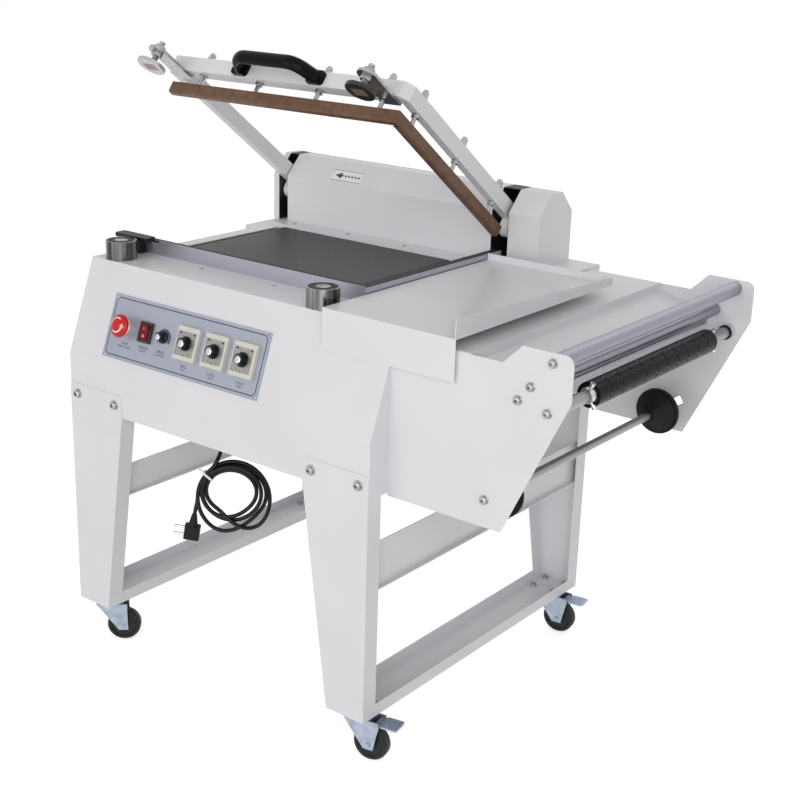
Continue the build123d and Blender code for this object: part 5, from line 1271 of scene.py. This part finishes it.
collar_plate = finish(
    "collar_plate", (0.7, 0.71, 0.73), 0.26, metallic=0.9, tone=0.25, tone_size=0.006, bump=0.00001,
)
near_nose, far_nose = near_floor - COLLAR_LENGTH, far_floor + COLLAR_LENGTH
collars = [
    ring_collar(near_nose, near_floor, COLLAR_RADIUS, COLLAR_NOSE),
    ring_collar(far_nose, far_floor, COLLAR_RADIUS, COLLAR_NOSE),
    ring_collar(far_shoulder - SPACER_LENGTH, far_shoulder - END_GAP, SPACER_RADIUS, SPACER_NOSE),
]
collar_grids = copies(collars, [perforator_axis], BACK)
clamp_screw = socket_screw(shank=4.4, length=6.0, head=8.0, rise=6.0, socket=4.2)
for along in (near_nose + SCREW_FROM_END, far_nose - SCREW_FROM_END):
    collar_grids += round_shaft(clamp_screw, along, COLLAR_NOSE - SCREW_SINK, SCREW_TURNS)
solid_piece("perforator_collars", collar_grids, collar_plate, "perforator")
clip_end = far_shoulder - SPACER_LENGTH - END_GAP
clip = ring_collar(clip_end - CLIP_LENGTH, clip_end, CLIP_RADIUS, CLIP_RADIUS)
clip_grids = copies([clip], [perforator_axis], BACK)
solid_piece("perforator_clip", clip_grids, black_rubber, "perforator")

# %% [markdown]
# ## Film chucks
# A film roll is held between two rubber cones that wedge into the ends of its card core. Each cone is
# stepped, so that it grips cores of several widths: every step is a gently sloped land and a steeper
# drop.

# %% Film chucks
RIM_RADIUS = 41.0
RIM_LENGTH = 7.0
HUB_RADIUS = 17.0
HUB_LENGTH = 16.0
CONE_LENGTH = 38.0
CONE_STEPS = 6
CONE_RADII = (36.5, 11.0)
LAND_SHARE = 0.72
LAND_FALL = 0.3
CHUCK_CLEARANCE = 0.1
mandrel_axis = np.array(joints["mandrel_spin"]["pos_m"])
mandrel_radius = (high("film_mandrel")[2] - low("film_mandrel")[2]) / 2 / MM
chuck_bore = mandrel_radius + CHUCK_CLEARANCE
step_radii, step_fall = np.linspace(*CONE_RADII, CONE_STEPS, endpoint=False, retstep=True)
step_starts, step_length = np.linspace(RIM_LENGTH, CONE_LENGTH, CONE_STEPS, endpoint=False, retstep=True)
step_rows = np.stack([
    np.c_[step_radii, step_starts],
    np.c_[step_radii + LAND_FALL * step_fall, step_starts + LAND_SHARE * step_length],
], axis=1).reshape(-1, 2)
chuck = turned(
    (chuck_bore, -HUB_LENGTH), (HUB_RADIUS - CHAMFER, -HUB_LENGTH), (HUB_RADIUS, CHAMFER - HUB_LENGTH),
    (HUB_RADIUS, 0), (RIM_RADIUS - CHAMFER, 0), (RIM_RADIUS, CHAMFER),
    (RIM_RADIUS, RIM_LENGTH - 2 * CHAMFER), (RIM_RADIUS - 2 * CHAMFER, RIM_LENGTH), *step_rows,
    (CONE_RADII[1], CONE_LENGTH), (chuck_bore, CONE_LENGTH), (chuck_bore, -HUB_LENGTH),
    segments=SLEEVE_SEGMENTS,
)
near_rim = mandrel_axis * (1, 0, 1) + (0.0, low("film_cones")[1] + HUB_LENGTH * MM, 0.0)
far_rim = mandrel_axis * (1, 0, 1) + (0.0, high("film_cones")[1] - HUB_LENGTH * MM, 0.0)
chuck_grids = copies([chuck], [near_rim], BACK) + copies([chuck], [far_rim], FRONT)
film_chucks = solid_piece("film_chucks", chuck_grids, black_rubber, "mandrel")
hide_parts("film_cones")

# %% [markdown]
# ## Cord tie and plug pins
# A white tie holds the turns together at their upper left. It is a flat band round the bundle: an oval
# ring that lies across the cords, with a short tail. Each pin of the plug gets a bright skin, a turned
# sleeve a hair wider than the pin.

# %% Cord tie
TIE_ANGLE = math.radians(140.0)
TIE_WIDTH = 4.0
TIE_SHEET = 0.9
TIE_CLEARANCE = 0.3
TIE_TAIL = (14.0, 5.0)
BAND_STEPS = 8
loop_centres = (LOOPS[:, [0, 2]] + LOOPS[:, [1, 3]]) / 2
loop_radii = (LOOPS[:, [1, 3]] - LOOPS[:, [0, 2]]) / 2
tie_direction = np.array([math.cos(TIE_ANGLE), math.sin(TIE_ANGLE)])
tie_along = np.array([-tie_direction[1], tie_direction[0]])
cord_spots = loop_centres + loop_radii * tie_direction
radial_spots = cord_spots @ tie_direction
tie_centre = tie_direction * (radial_spots.min() + radial_spots.max()) / 2
tie_centre = tie_centre + (cord_spots.mean(axis=0) @ tie_along) * tie_along
bundle_half = np.array([np.ptp(radial_spots) / 2, np.abs(LOOPS[:, 4]).max()])
band_radius = CORD_DIAMETER / MM / 2 + TIE_CLEARANCE + TIE_SHEET / 2
band_line = np.vstack([
    np.array(sign) * bundle_half + arc_line(band_radius, start, start + 90.0, BAND_STEPS)
    for sign, start in (((1, 1), 0.0), ((-1, 1), 90.0), ((-1, -1), 180.0), ((1, -1), 270.0))
])
tail_start = np.array([bundle_half[0] + band_radius, 0.0])
tail_line = np.array([tail_start, tail_start + np.array(TIE_TAIL) * 0.5, tail_start + TIE_TAIL])
tie_radial = COIL_ACROSS * tie_direction[0] + COIL_UP * tie_direction[1]
tie_axes = np.stack([tie_radial, COIL_OUT, np.cross(tie_radial, COIL_OUT)])
tie_place = in_coil_plane(*tie_centre)
tie_grids = [ribbon(band_line, TIE_SHEET, TIE_WIDTH, closed=True), ribbon(tail_line, TIE_SHEET, TIE_WIDTH)]
tie_grids = [placed(grid - (0.0, 0.0, TIE_WIDTH / 2), tie_place, tie_axes) for grid in tie_grids]
cord_tie = solid_piece("cord_tie", tie_grids, white_print)

# %% Plug pins
NECK_END = TAIL_POINTS[-1, :2]
NECK_RUN = np.array([-0.1455, -0.9894])
PIN_SIDE = np.array([NECK_RUN[1], -NECK_RUN[0]])
PIN_STARTS = (27.0, 41.0)
PIN_REACH = (13.0, 32.1)
PIN_RADIUS = 2.52
PIN_TAPER = 0.8
PIN_TIP = 1.0
pin_length = PIN_REACH[1] - PIN_REACH[0]
pin = turned(
    (0, 0), (PIN_RADIUS, 0), (PIN_RADIUS, pin_length - PIN_TIP), (PIN_RADIUS - PIN_TAPER, pin_length),
    (0, pin_length),
)
pin_out = COIL_ACROSS * PIN_SIDE[0] + COIL_UP * PIN_SIDE[1]
pin_starts = [NECK_END + NECK_RUN * start + PIN_SIDE * PIN_REACH[0] for start in PIN_STARTS]
pin_places = [in_coil_plane(*place) for place in pin_starts]
pin_sleeves = solid_piece("pin_sleeves", copies([pin], pin_places, pin_out), chrome)
